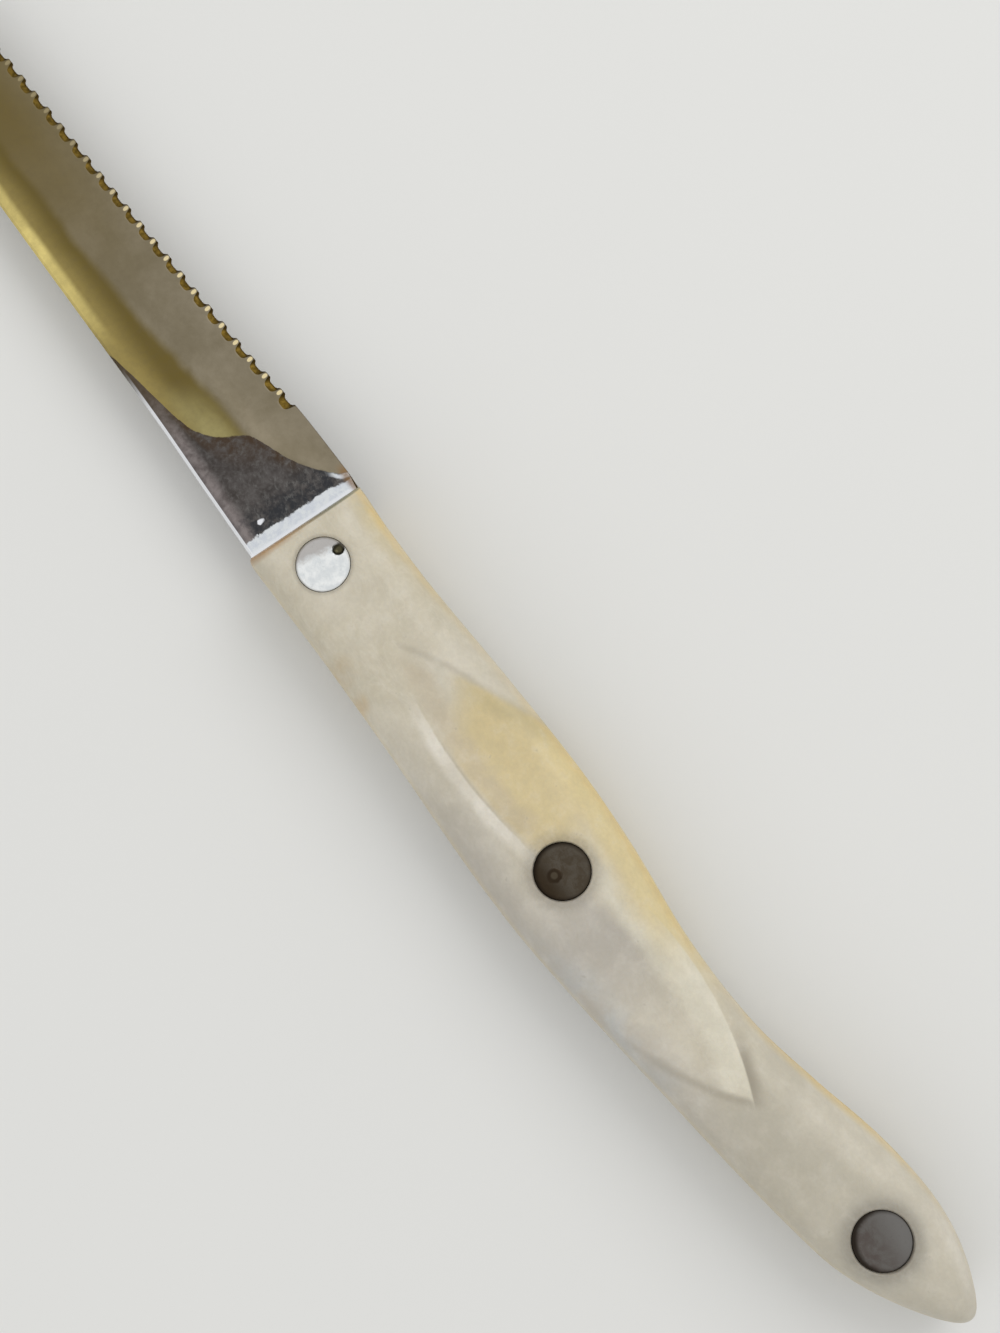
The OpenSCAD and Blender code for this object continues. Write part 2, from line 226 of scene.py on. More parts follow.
@dataclass(frozen=True)
class Hollow:
    """A hollow for the hand: it falls away from a bent ridge and from a crease at its end.

    The places of both lines, the bulge and the bend are shares of the handle's size.
    """

    knife: KnifeFrame
    ridge_shares: Line
    crease_shares: Line
    bulge_share: float
    bend_share: float = 0.021
    bend_length_share: float = 0.04
    depth: float = 1.9
    ridge_width: float = 8.0
    crease_width: float = 10.0
    ease: float = 0.55

    def _beside(self, line: Line, x: float, y: float) -> tuple[float, float, float]:
        """A point's distance along a line and out from it, and the line's length.

        Args:
            line: Two points in plan.
            x: Distance along the knife.
            y: Distance across it.

        Returns:
            The distance along the line, the distance out from it and its length.
        """
        a, b = (Vector((-far * self.knife.handle_length, high * self.knife.handle_width))
                for far, high in line)
        chord, off = b - a, Vector((x, y)) - a
        length = chord.length
        return off.dot(chord) / length, (off.x * chord.y - off.y * chord.x) / length, length

    def ridge_depth(self, x: float, y: float) -> float:
        """How far a point lies inside the ridge.

        Args:
            x: Distance along the knife.
            y: Distance across it.

        Returns:
            The distance inside it, negative outside it.
        """
        along, out, length = self._beside(self.ridge_shares, x, y)
        bulge = self.bulge_share * self.knife.handle_width
        radius = length * length / (8 * bulge) + bulge / 2
        return radius - hypot(along - length / 2, out + radius - bulge)

    def crease_depth(self, x: float, y: float) -> float:
        """How far a point lies inside the crease.

        Args:
            x: Distance along the knife.
            y: Distance across it.

        Returns:
            The distance inside it, negative outside it.
        """
        along, inward, _ = self._beside(self.crease_shares, x, y)
        back = max(0.0, 1 - along / (self.bend_length_share * self.knife.handle_length))
        return inward - self.bend_share * self.knife.handle_width * back * back

    def fall(self, x: float, y: float) -> float:
        """Depth of the hollow at a point."""
        ridge = rise(eased(self.ridge_depth(x, y), self.ease) / self.ridge_width)
        return self.depth * ridge * rise(eased(self.crease_depth(x, y), self.ease) / self.crease_width)


@dataclass(frozen=True)
class HandleForm:
    """The outline, crown, hollows and rounded ends of one scale's outer face."""

    knife: KnifeFrame
    front_hollow: Hollow
    rear_hollow: Hollow
    shoulder: float = 5.6
    crest_shoulder: float = 8.4
    crown: float = 0.3
    butt_length: float = 16.0
    butt_round: float = 9.0
    front_round: float = 0.5
    front_slant: float = radians(6.5)
    front_lean: float = radians(19)
    corner_length: float = 1.6
    corner_depth: float = 0.6
    pad_radius: float = 4.4
    pad_fade: float = 11.0
    crest_span: Plan = (24.0, 50.0)
    crest_fade: float = 11.0

    def _outline(self, s: float, column: int) -> float:
        """One column of the outline at distance s behind the front end, in millimetres."""
        return self.knife.handle_width * HANDLE_OUTLINE.at(s / self.knife.handle_length, column)

    def _corner(self, s: float) -> float:
        """Half of what the cut corner takes off the handle's width at distance s."""
        return self.corner_depth * (1 - quarter(s / self.corner_length)) / 2

    def half(self, s: float) -> float:
        """Half width of the handle at distance s."""
        butt = quarter((self.knife.handle_end - s) / self.butt_length)
        return self._outline(s, 1) * butt - self._corner(s)

    def middle(self, s: float) -> float:
        """Middle line of the handle at distance s."""
        return self._outline(s, 2) - self._corner(s)

    def slant(self, s: float, y: float) -> float:
        """How far the slanted front end shifts a point forward at height y."""
        fade = 1 - soft(s / (FRONT_RIVET_SHARE * self.knife.handle_length))
        return tan(self.front_slant) * (y - self._outline(0, 2)) * fade

    def lean(self, s: float, above: float) -> float:
        """How far the leaning front end shifts a point back, at a height above the tang."""
        full = (self.knife.handle_half - self.knife.tang_half) * tan(self.front_lean)
        return above * tan(self.front_lean) * (1 - soft(s / (2 * full)))

    def station(self, x: float, y: float, above: float = 0.0) -> float:
        """Distance behind the front end at which a point lies, at a height above the tang.

        Args:
            x: Distance along the knife.
            y: Distance across it.
            above: Height above the face of the tang.

        Returns:
            The distance behind the front end.
        """
        s = -x
        for _ in range(6):
            s = self.slant(max(s, 0.0), y) - self.lean(max(s, 0.0), above) - x
        return max(s, 0.0)

    def shoulders(self, s: float) -> Plan:
        """Widths of the rounded shoulders on the spine side and on the edge side.

        Args:
            s: Distance behind the front end.

        Returns:
            The width on the spine side and the width on the edge side.
        """
        (start, end), fade, half = self.crest_span, self.crest_fade, self.half(s)
        crest = soft((s - start) / fade + 1) * soft((end - s) / fade + 1)
        return min(mixed(self.shoulder, self.crest_shoulder, crest), half), min(self.shoulder, half)

    def pad(self, x: float, y: float) -> float:
        """How much of the hollows is let in at a point, by its distance from the middle rivet.

        Args:
            x: Distance along the knife.
            y: Distance across it.

        Returns:
            A share from 0 to 1.
        """
        middle = -MIDDLE_RIVET_SHARE * self.knife.handle_length
        off = hypot(x - middle, y - self.knife.middle_rise)
        return soft((off - self.pad_radius) / self.pad_fade)

    def height(self, s: float, y: float) -> float:
        """Height of the outer face above the tang's middle.

        Args:
            s: Distance behind the slanted front end.
            y: Place across the handle.

        Returns:
            The height, which falls to the tang's face at the outline.
        """
        knife, half = self.knife, self.half(s)
        if half <= 0:
            return knife.tang_half
        spine, edge = self.shoulders(s)
        out = y - self.middle(s)
        over = (out - half + spine) / spine if out > 0 else (-out - half + edge) / edge
        x = self.slant(s, y) - s
        hollow = (self.front_hollow.fall(x, y) + self.rear_hollow.fall(x, y)) * self.pad(x, y)
        drop = self.front_round * (1 - quarter(s / self.front_round))
        end = quarter((knife.handle_end - s) / self.butt_round)
        full = knife.handle_half - knife.tang_half - hollow - drop - self.crown * (out / half) ** 2
        return knife.tang_half + fall(over) * end * full


def new_object(name: str, data: ID) -> Object:
    """Makes an object of some data and links it to the scene.

    Args:
        name: Name of the object.
        data: Its mesh, lamp or camera.

    Returns:
        The linked object.
    """
    made = bpy.data.objects.new(name, data)
    bpy.context.scene.collection.objects.link(made)
    return made


def piece_object(mesh: BMesh, name: str, sharp: float) -> Object:
    """Makes an object of a finished bmesh, with smooth faces.

    Args:
        mesh: The bmesh, which is freed here.
        name: Name of the new object and of its mesh.
        sharp: Angle in degrees past which an edge stays sharp.

    Returns:
        The object, linked to the scene.
    """
    bmesh.ops.recalc_face_normals(mesh, faces=mesh.faces)
    for face in mesh.faces:
        face.smooth = True
    for edge in mesh.edges:
        edge.smooth = edge.is_manifold and edge.calc_face_angle(0.0) < radians(sharp)
    data = bpy.data.meshes.new(name)
    mesh.to_mesh(data)
    mesh.free()
    return new_object(name, data)


def dress(piece: Object, node: str, slot: str, *materials: Material) -> Object:
    """Gives a piece its materials and body, and lets it stand for its CAD node.

    Args:
        piece: The finished piece.
        node: Name of the CAD node that it replaces.
        slot: Name of its slot, which is not used.
        materials: Its materials, in the order of the faces' indices.

    Returns:
        The piece.
    """
    for material in materials:
        piece.data.materials.append(material)
    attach(piece, BODY)
    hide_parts(node)
    return piece


def settle(mesh: BMesh, marks: Callable[[Vector], dict[str, float]],
           place: Callable[[Vector], Vector]) -> None:
    """Stores marks on the vertices, for a material to read, and moves them to their places.

    Args:
        mesh: The bmesh, in the knife's millimetres.
        marks: Gives the named marks of a point.
        place: Gives the place of a point in the shared frame.
    """
    layers = mesh.verts.layers.float
    for name in marks(Vector()):
        layers.new(name)
    for vertex in mesh.verts:
        for name, value in marks(vertex.co).items():
            vertex[layers[name]] = value
        vertex.co = place(vertex.co)


def skin(mesh: BMesh, sections: Sequence[Sequence[Vector]]) -> list[list[BMVert]]:
    """Makes a grid and lays its columns on sections.

    Args:
        mesh: The bmesh that takes the grid.
        sections: The places of the vertices, as one list for each column.

    Returns:
        The vertices, in the same order.
    """
    columns, rows = len(sections) - 1, len(sections[0]) - 1
    table = [[None] * (rows + 1) for _ in sections]
    made = bmesh.ops.create_grid(mesh, x_segments=columns, y_segments=rows, size=0.5)
    for vertex in made["verts"]:
        i, j = round((vertex.co.x + 0.5) * columns), round((vertex.co.y + 0.5) * rows)
        table[i][j] = vertex
        vertex.co = sections[i][j]
    return table


def open_hole(mesh: BMesh, verts: Sequence[BMVert], centre: Vector, radius: float,
              height: Callable[[float, float], float]) -> list[BMEdge]:
    """Cuts a round hole into a skin and pulls the cut's rim onto the circle.

    Args:
        mesh: The bmesh that holds the skin.
        verts: The vertices of the skin.
        centre: Middle of the hole in plan.
        radius: Radius of the hole.
        height: Gives the z of the skin over a point of the plan.

    Returns:
        The edges of the rim.
    """
    near = {v for v in verts if v.is_valid and (v.co.xy - centre.xy).length < radius}
    faces = {face for v in near for face in v.link_faces}
    corners = {v for face in faces for v in face.verts} - near
    bmesh.ops.delete(mesh, geom=list(faces), context="FACES")
    rim = {v for v in corners if v.is_valid}
    for v in rim:
        v.co.xy = centre.xy + (v.co.xy - centre.xy).normalized() * radius
        v.co.z = height(v.co.x, v.co.y)
    return [edge for v in rim for edge in v.link_edges
            if edge.is_boundary and edge.other_vert(v) in rim and edge.verts[0] is v]


@dataclass(frozen=True)
class Ring:
    """One ring of a hole's wall: its radius, and a drop from the last ring or a set level."""

    radius: float
    drop: float = 0.0
    level: float | None = None


def sink(mesh: BMesh, rim: list[BMEdge], centre: Vector, rings: Sequence[Ring]) -> list[BMEdge]:
    """Extrudes a rim down through rings.

    Args:
        mesh: The bmesh that holds the rim.
        rim: The edges of the rim.
        centre: Middle of the hole in plan.
        rings: The rings, from the rim inwards.

    Returns:
        The edges of the last ring.
    """
    for ring in rings:
        made = bmesh.ops.extrude_edge_only(mesh, edges=rim)["geom"]
        rim = [item for item in made if isinstance(item, BMEdge)]
        for v in (item for item in made if isinstance(item, BMVert)):
            v.co.xy = centre.xy + (v.co.xy - centre.xy).normalized() * ring.radius
            v.co.z = v.co.z - ring.drop if ring.level is None else ring.level
    return rim


@dataclass(frozen=True)
class Value:
    """A result in a node tree. Sums, steps and bands of it are worked out by more nodes."""

    shader: "Shader"
    socket: NodeSocket

    def _sum(self, operation: str, other: object = 0.0) -> "Value":
        """The result of one operation on this value and another."""
        return self.shader.node("ShaderNodeMath", {0: self, 1: other}, operation=operation)

    __add__ = partialmethod(_sum, "ADD")
    __sub__ = partialmethod(_sum, "SUBTRACT")
    __mul__ = partialmethod(_sum, "MULTIPLY")
    __truediv__ = partialmethod(_sum, "DIVIDE")
    __pow__ = partialmethod(_sum, "POWER")
    __abs__ = partialmethod(_sum, "ABSOLUTE")
    most = partialmethod(_sum, "MAXIMUM")

    def step(self, low: float, high: float, start: float = 0.0, end: float = 1.0) -> "Value":
        """Maps the value softly from low to high onto start to end.

        Args:
            low: Value that gives start.
            high: Value that gives end.
            start: Result at low and before it.
            end: Result at high and past it.

        Returns:
            The mapped value.
        """
        return self.shader.node("ShaderNodeMapRange", {
            "Value": self, "From Min": low, "From Max": high, "To Min": start, "To Max": end,
        }, interpolation_type="SMOOTHSTEP")

    def band(self, low: float, high: float, fade: float) -> "Value":
        """1 between low and high, with soft ends."""
        return self.step(low - fade, low + fade) * self.step(high + fade, high - fade)


def distance(x: Value, y: Value, place: Plan) -> Value:
    """Distance of two coordinates from a place."""
    return ((x - place[0]) ** 2 + (y - place[1]) ** 2) ** 0.5


class Shader:
    """The node tree of a material or of the world, with short calls for what finishes share."""

    def __init__(self, name: str, world: bool = False) -> None:
        """Makes a material or a world, whose tree starts with the node that a finish feeds.

        Args:
            name: Name of the material or world.
            world: Whether it is a world.
        """
        self.owner = (bpy.data.worlds if world else bpy.data.materials).new(name)
        self.owner.use_nodes = True
        self.tree = self.owner.node_tree
        self.surface = self.tree.nodes["Background" if world else "Principled BSDF"]

    @cached_property
    def place(self) -> Value:
        """The piece's own coordinates."""
        return self.node("ShaderNodeTexCoord", out="Object")

    def node(self, kind: str, inputs: dict | None = None, out: int | str = 0,
             **settings: object) -> Value:
        """Adds a node.

        Args:
            kind: Type of the node.
            inputs: Numbers, colours or values, by the input's name or number.
            out: Name or number of the output.
            settings: Properties of the node.

        Returns:
            The output.
        """
        node = self.tree.nodes.new(kind)
        for name, value in settings.items():
            setattr(node, name, value)
        for name, value in (inputs or {}).items():
            self.feed(node.inputs[name], value)
        return Value(self, node.outputs[out])

    def feed(self, socket: NodeSocket, value: object) -> None:
        """Links a socket to a value of the tree, or sets it to a constant.

        Args:
            socket: An input of a node.
            value: A value of the tree, or a constant.
        """
        if isinstance(value, Value):
            self.tree.links.new(value.socket, socket)
        else:
            socket.default_value = value

    def marks(self, *names: str) -> list[Value]:
        """Reads values that are stored on the piece."""
        return [self.node("ShaderNodeAttribute", out="Fac", attribute_name=name) for name in names]

    def mapped(self, scale: Sequence[float] = (1, 1, 1), turn: float = 0.0,
               shift: Sequence[float] = (0, 0, 0)) -> Value:
        """The piece's own coordinates, moved, turned about z by degrees, then scaled.

        Args:
            scale: Factors along the three axes.
            turn: Turn about z in degrees.
            shift: Move along the three axes, in metres.

        Returns:
            The coordinates.
        """
        moved = self.node("ShaderNodeMapping", {
            "Vector": self.place, "Location": shift, "Rotation": (0, 0, radians(turn))})
        return self.node("ShaderNodeMapping", {"Vector": moved, "Scale": scale})

    def noise(self, size: float, detail: float = 3.0, rough: float = 0.55, bend: float = 0.0,
              at: Value | None = None) -> Value:
        """Noise whose patches measure about a size in millimetres.

        Args:
            size: Size of a patch in millimetres.
            detail: Number of finer layers.
            rough: Share that each finer layer keeps.
            bend: How much the patches bend.
            at: Coordinates, where they aren't the piece's own.

        Returns:
            The noise, from 0 to 1.
        """
        return self.node("ShaderNodeTexNoise", {
            "Vector": at or self.place, "Scale": 1 / (size * MM), "Detail": detail,
            "Roughness": rough, "Distortion": bend})

    def mix(self, share: Value, a: object, b: object) -> Value:
        """Mixes two values or display colours."""
        a, b = (linear(c) if isinstance(c, tuple) else c for c in (a, b))
        return self.node("ShaderNodeMix", {0: share, 6: a, 7: b}, out=2, data_type="RGBA")

    def paint(self, finish: object, base: object, **shares: Value) -> Value:
        """Lays colours of a finish over a base, each by the share that stands under its name.

        Args:
            finish: The finish that names the colours.
            base: The colour underneath.
            shares: The share of each colour, by the colour's name.

        Returns:
            The painted colour.
        """
        for name, share in shares.items():
            base = self.mix(share, base, getattr(finish, name))
        return base

    def relief(self, *layers: tuple[Value, float]) -> Value:
        """A normal bent by heights, each of up to a depth in millimetres.

        Args:
            layers: Heights from 0 to 1, each with its depth.

        Returns:
            The bent normal.
        """
        below = {}
        for height, depth in layers:
            normal = self.node("ShaderNodeBump", {"Height": height, "Distance": depth * MM, **below})
            below = {"Normal": normal}
        return normal

    def finish(self, **inputs: object) -> Material | World:
        """Feeds the surface, by input names with underscores, and returns the owner.

        Args:
            inputs: Values of the surface's inputs.

        Returns:
            The material or the world.
        """
        for name, value in inputs.items():
            self.feed(self.surface.inputs[name.replace("_", " ")], value)
        return self.owner


@dataclass(frozen=True)
class ResinFinish:
    """Aged cream resin: pearly mottling, a yellowed grip, crests pale from wear and painted highlight,
    painted shade in its creases and hollows, and soiling and painted shade round the rivets.
    """

    cream: Colour = (194, 186, 165)
    light: Colour = (205, 198, 181)
    rear: Colour = (180, 174, 158)
    warm: Colour = (204, 187, 142)
    tan: Colour = (186, 171, 128)
    # Painted shade for the front hollow's slope by its ridge.
    blush: Colour = (183, 170, 145)
    dull: Colour = (168, 162, 146)
    cool: Colour = (178, 172, 161)
    blue: Colour = (183, 184, 181)
    # Pale crests: partly wear, partly painted highlight; also pale flecks.
    crest: Colour = (222, 216, 203)
    palm: Colour = (212, 206, 187)
    lit: Colour = (220, 202, 148)
    fringe: Colour = (217, 188, 118)
    # Painted shade along the creases and ridges; also dark flecks.
    line: Colour = (146, 138, 122)
    # Soiling and painted shade round the rivet holes.
    grime: Colour = (84, 76, 66)
    # Painted shade round the rear rivet.
    veil: Colour = (160, 156, 145)
    joint: Colour = (164, 128, 84)
    seam: Colour = (104, 104, 78)
    stain: Colour = (194, 168, 124)
    stain_places: Line = ((19.5, 1.3), (24.0, 0.8))

    def _tones(self, s: Shader, patch: Value) -> Value:
        """The broad tones: cream, the yellowed grip, the grey palm, painted shade on the front
        hollow's slopes, and crests pale from wear and painted highlight.

        Args:
            s: The scale's shader.
            patch: Noise that breaks up the tones.

        Returns:
            The colour.
        """
        behind, edge, spine, ridge, crease, back_ridge, back_crease = s.marks(
            "behind", "from_edge", "from_spine", "ridge", "crease", "back_ridge", "back_crease")
        drift = (patch - 0.5) * 3.0
        wavy_ridge = ridge + drift * 0.3
        wavy_edge = edge + drift * 0.6
        vein = s.noise(8, 6, 0.62, bend=1.8, at=s.mapped((1, 2.2, 1), turn=10))
        side = wavy_edge.step(5.4, 2.4) * behind.band(41, 74, 8) * 0.85
        grip = ((behind - edge * 0.757 + drift).step(23.5, 31) * wavy_ridge.step(-0.2, 1)
                * crease.step(-0.3, 0.7) * behind.step(60, 50))
        flank = spine.step(8, 1) * behind.band(38, 90, 12) * 0.9
        palm = ((back_ridge + drift).step(2, 4.8) * back_crease.step(-0.4, 0.8)
                * behind.band(56, 74, 10))
        # Pale band just outside the front ridge: partly wear, partly painted highlight.
        worn = (wavy_ridge.step(0.12, -0.2) * wavy_ridge.step(-2.1, -0.9) * behind.band(30, 51, 5)
                * abs(behind - 40).step(1, 5, 0.5) * patch.step(0.25, 0.6, 0.45))
        # Painted highlight: a light streak along the edge side of the butt.
        tip = edge.band(0.5, 1.9, 0.8) * behind.band(115, 123, 4) * 0.55
        base = s.paint(self, self.cream, light=s.noise(17, 4, bend=0.6).step(0.36, 0.66))
        base = s.paint(self, base, light=abs(vein - 0.5).step(0.04, 0) * 0.4,
                       rear=(behind + drift).step(82, 94) * 0.75)
        base = s.paint(
            self, base,
            light=(edge + drift).step(6.5, 2.5) * behind.band(92, 122, 6) * 0.6,
            dull=(spine + drift).band(2.5, 8.5, 2.5) * behind.band(87, 102, 6) * 0.45,
            cool=flank.most(palm),
            blue=spine.step(6, 1.5) * behind.band(62, 84, 9) * patch.step(0.3, 0.6) * 0.7,
            palm=wavy_edge.step(6.6, 4.6) * behind.band(58, 76, 6) * 0.7,
            warm=grip.most(side),
            lit=side * edge.step(3.8, 1.2) * 0.6,
            # Painted shade on the front hollow's slope just inside the ridge, where the grip's yellow
            # also fades.
            blush=((ridge + drift).band(0.2, 3.2, 1.2) * behind.step(53, 48)
                   * crease.step(0.5, 2.5) * 0.6),
            # Darker, yellower band just inside the front crease: painted shade on the slope into the
            # hollow.
            tan=crease.band(0.1, 2.2, 0.9) * behind.band(32, 43, 4) * 0.7)
        return s.paint(
            self, base,
            # Pale band just inside the rear ridge: partly wear, partly painted highlight.
            palm=(back_ridge.step(-0.06, 0.2) * back_crease.step(-0.1, 0.7)
                  * (back_ridge + drift).step(4.6, 2.4) * behind.band(71, 93, 7)),
            crest=worn.most(tip))

    def _lines(self, s: Shader, patch: Value) -> Value:
        """How strongly the painted shade along the creases and by the ridges shows.

        Args:
            s: The scale's shader.
            patch: Noise that breaks up the lines.

        Returns:
            A share from 0 to 1.
        """
        behind, spine, ridge, crease, back_ridge, back_crease = s.marks(
            "behind", "from_spine", "ridge", "crease", "back_ridge", "back_crease")
        wave = (patch - 0.5) * 0.7
        # Painted shade along the front crease.
        front = ((crease + wave).band(-0.25, 0.2, 0.55) * ridge.step(0.2, 1.2)
                 * behind.step(44, 30, 0.25, 0.42))
        # Painted shade along the rear crease.
        back = ((back_crease + wave).band(-0.35, 0.15, 0.7) * back_ridge.step(0, 0.6)
                * spine.step(0.8, 3) * 0.8)
        # Painted shadow just outside the rear ridge.
        beside = (back_ridge.step(0.1, -0.1) * back_ridge.step(-1.9, -0.2)
                  * behind.band(84.5, 91.5, 2.5) * back_crease.step(-1, 0) * 0.8)
        # Painted shade at the foot of the front ridge, inside the hollow.
        foot = ridge.band(0, 0.25, 0.2) * behind.band(36, 46, 4) * 0.4
        return front.most(back).most(beside.most(foot))

    def material(self, name: str) -> Material:
        """The resin for one scale, placed by the marks of the scale.

        Args:
            name: Name of the material.

        Returns:
            The material.
        """
        s = Shader(name)
        behind, edge, spine, halo, front_halo = s.marks(
            "behind", "from_edge", "from_spine", "halo", "front_halo")
        patch = s.noise(4, 5, 0.6, bend=0.4)
        grain = s.noise(0.5, rough=0.7)
        mottle = s.noise(2.6, 4, 0.6, bend=0.2)
        scratch = s.noise(1.1, 2, at=s.mapped((1, 14, 1), turn=35))
        places = (behind.step(24, 4) * 0.55 + behind.band(42, 72, 8) * 0.35
                  + behind.band(86, 110, 8) * 0.62 + 0.22)
        rim = (edge + behind.step(72, 84, -0.15, 0.2)).step(1.1, 0) * places
        stains = [distance(behind, spine, place) for place in self.stain_places]
        # Halos round the rivet holes: partly soiling, partly painted shade of the recessed heads.
        ring = (halo.step(0.5, 0) * 0.85).most(halo.step(2.1, 0.1) * 0.38)
        ring = ring.most(halo.step(2.2, 0.2) * behind.band(49, 52, 1.2) * 0.6)
        grime = ring.most(front_halo.step(0.7, 0) * 0.4) * grain.step(0.2, 0.8, 0.8, 1.15)
        base = s.paint(
            self, self._tones(s, patch),
            warm=edge.step(3.2, 0.5) * behind.step(24, 4) * patch.step(0.2, 0.6) * 0.7,
            fringe=rim * patch.step(0.2, 0.7, 0.7, 1.1))
        base = s.paint(
            self, base,
            warm=spine.step(0.9, 0.1) * 0.35,
            stain=stains[0].step(3, 0.3).most(stains[1].step(2, 0.3)) * patch.step(0.3, 0.62) * 0.6,
            # The line colour here is painted shade in the creases and by the ridges.
            line=self._lines(s, patch),
            joint=behind.step(1.5, 0.2) * spine.step(11, 2) * 0.7)
        seam = s.mix(spine.step(13, 4), self.seam, self.joint)
        base = s.paint(
            self, s.mix(behind.step(0.42, 0.1) * 0.8, base, seam),
            # Painted shade: a wide soft halo round the rear rivet.
            veil=halo.step(3.4, 0.6) * behind.step(96, 104) * 0.5,
            grime=grime,
            line=mottle.step(0.58, 0.36) * 0.1,
            crest=mottle.step(0.5, 0.75) * 0.18)
        for speck in (grain.step(0.3, 0.75) * 0.12, s.noise(1.3, 2).step(0.72, 0.8) * 0.3):
            base = s.paint(self, base, line=speck)
        return s.finish(
            Base_Color=base, Roughness=patch.step(0.3, 0.7, 0.42, 0.54) + grime * 0.25,
            Normal=s.relief((patch, 0.05), (grain, 0.012), (scratch.step(0.62, 0.75), 0.012)),
            IOR=1.45, Subsurface_Weight=0.12, Subsurface_Radius=(1.0, 0.7, 0.4),
            Subsurface_Scale=0.0012, Coat_Weight=0.06, Coat_Roughness=0.3)


@dataclass(frozen=True)
class SteelFinish:
    """The blade's steel: a satin hollow grind with a painted reflection and highlight, a polished
    ricasso with painted reflections, and painted highlights along its strips, spine and tooth tips.
    """

    satin: Colour = (124, 115, 95)
    satin_light: Colour = (137, 128, 109)
    satin_grain: Colour = (98, 88, 68)
    tanned: Colour = (112, 98, 60)
    olive: Colour = (106, 92, 50)
    olive_light: Colour = (152, 136, 82)
    gold: Colour = (224, 206, 132)
    patch: Colour = (160, 150, 102)
    # Painted reflections in the polished part in front of the handle.
    polish: Colour = (92, 88, 86)
    polish_dark: Colour = (66, 61, 58)
    brown: Colour = (76, 62, 50)
    umber: Colour = (74, 62, 40)
    blue: Colour = (58, 59, 62)
    smear: Colour = (118, 117, 114)
    stripe: Colour = (152, 142, 140)
    # Painted reflection colours for the light strips.
    bright: Colour = (226, 230, 232)
    bright_blue: Colour = (211, 216, 223)
    # Painted highlight and reflection colour.
    rim: Colour = (240, 242, 246)
    stain: Colour = (138, 104, 62)
    land: Colour = (224, 208, 164)
    wheel: Colour = (74, 59, 22)
    wheel_light: Colour = (106, 86, 36)
    wheel_foot: Colour = (60, 47, 20)
    land_size: Plan = (0.27, 0.42)

    def _ricasso(self, s: Shader) -> Value:
        """Colour of the polished part in front of the handle: its dark, brown, blue-black and pinkish
        tones and light smears are painted reflections of the surroundings.

        Args:
            s: The blade's shader.

        Returns:
            The colour.
        """
        along, spine, fore, grind = s.marks("along", "from_spine", "fore", "grind")
        smudge = s.noise(2.4, 6, 0.75, bend=0.2)
        fine = s.noise(0.6, rough=0.75)
        streaks = s.noise(1.3, 5, 0.7, bend=0.3, at=s.mapped((1, 1.8, 1), turn=20))
        base = s.paint(
            self, self.polish_dark,
            polish=smudge.step(0.32, 0.68),
            brown=grind.step(-6.5, -1) * fore.step(5, 9) * smudge.step(0.75, 0.4),
            blue=fore.step(7.5, 3.5) * smudge.step(0.62, 0.42),
            smear=streaks.step(0.53, 0.66) * fore.step(16, 4) * 0.6,
            stripe=spine.band(0.5, 1.8, 1) * smudge.step(0.3, 0.6, 0.5) * fine.step(0.3, 0.7, 0.6))
        # Painted shade: darker brown further forward along the unground strip by the spine.
        return s.paint(self, base, smear=fine.step(0.45, 0.75) * 0.34,
                       umber=along.step(16, 30) * 0.75)

    def _hollow(self, s: Shader) -> Value:
        """Colour of the hollow-ground face, with a painted olive reflection of a warm object and a
        painted gold highlight by the spine.

        Args:
            s: The blade's shader.

        Returns:
            The colour.
        """
        along, across, grind = s.marks("along", "across", "grind")
        cloud = s.noise(8, 5, bend=0.4)
        wander = across + (cloud - 0.5) * 0.1
        base = s.paint(self, self.satin, satin_light=cloud.step(0.35, 0.65),
                       tanned=along.step(30, 76) * across.step(1, 0.6, 0.65))
        # Painted reflection of a warm object: the olive band near the spine.
        olive = s.mix(wander.step(0.36, 0.06), self.olive, self.olive_light)
        base = s.mix((wander - along.step(16, 46, 0.53, 0.39)).step(0.05, -0.06), base, olive)
        return s.paint(
            self, base,
            patch=across.band(0.2, 0.47, 0.09) * grind.step(11, 1.5) * cloud.step(0.25, 0.6, 0.6),
            # Painted highlight: the gold streak by the spine.
            gold=across.step(0.15, 0.08) * along.band(41, 74, 7) * cloud.step(0.3, 0.6, 0.65),
            satin_grain=s.noise(1, 4, 0.7).step(0.3, 0.8) * 0.22)

    def face(self, name: str) -> Material:
        """The steel of the whole blade, apart from its scallops, with painted highlights and
        reflections on its strips, glint, spine and tooth tips.

        Args:
            name: Name of the material.

        Returns:
            The material.
        """
        s = Shader(name)
        along, grind, glint, spine, edge, fore, tooth = s.marks(
            "along", "grind", "glint", "from_spine", "from_edge", "fore", "tooth")
        wave = s.noise(1.2, 5, 0.75)
        ragged = wave - 0.5
        ground = (grind + ragged * 0.7).step(-0.16, 0.16)
        # Painted highlight along the lower end of the grind line.
        lip = (grind + ragged).band(-0.85, -0.1, 0.2) * fore.step(4.8, 3.2) * edge.step(2.6, 1.4)
        # Painted reflection: the light strip along the front of the handle.
        strip = (fore + ragged * 1.5 - edge.step(4, 0.6, 2, 1.65)).step(0.14, -0.14)
        bright = s.mix(wave.step(0.42, 0.62), self.bright, self.bright_blue)
        base = s.mix(strip.most(lip), s.mix(ground, self._ricasso(s), self._hollow(s)), bright)
        # Painted highlights and reflections: the strip's front edge, the glint and the line along the
        # spine's chamfer.
        for shine in (strip * fore.step(0.7, 0.2) * 0.7, glint.step(0.5, 0.36),
                      spine.step(0.5, 0.38) * along.step(33, 24)):
            base = s.paint(self, base, rim=shine)
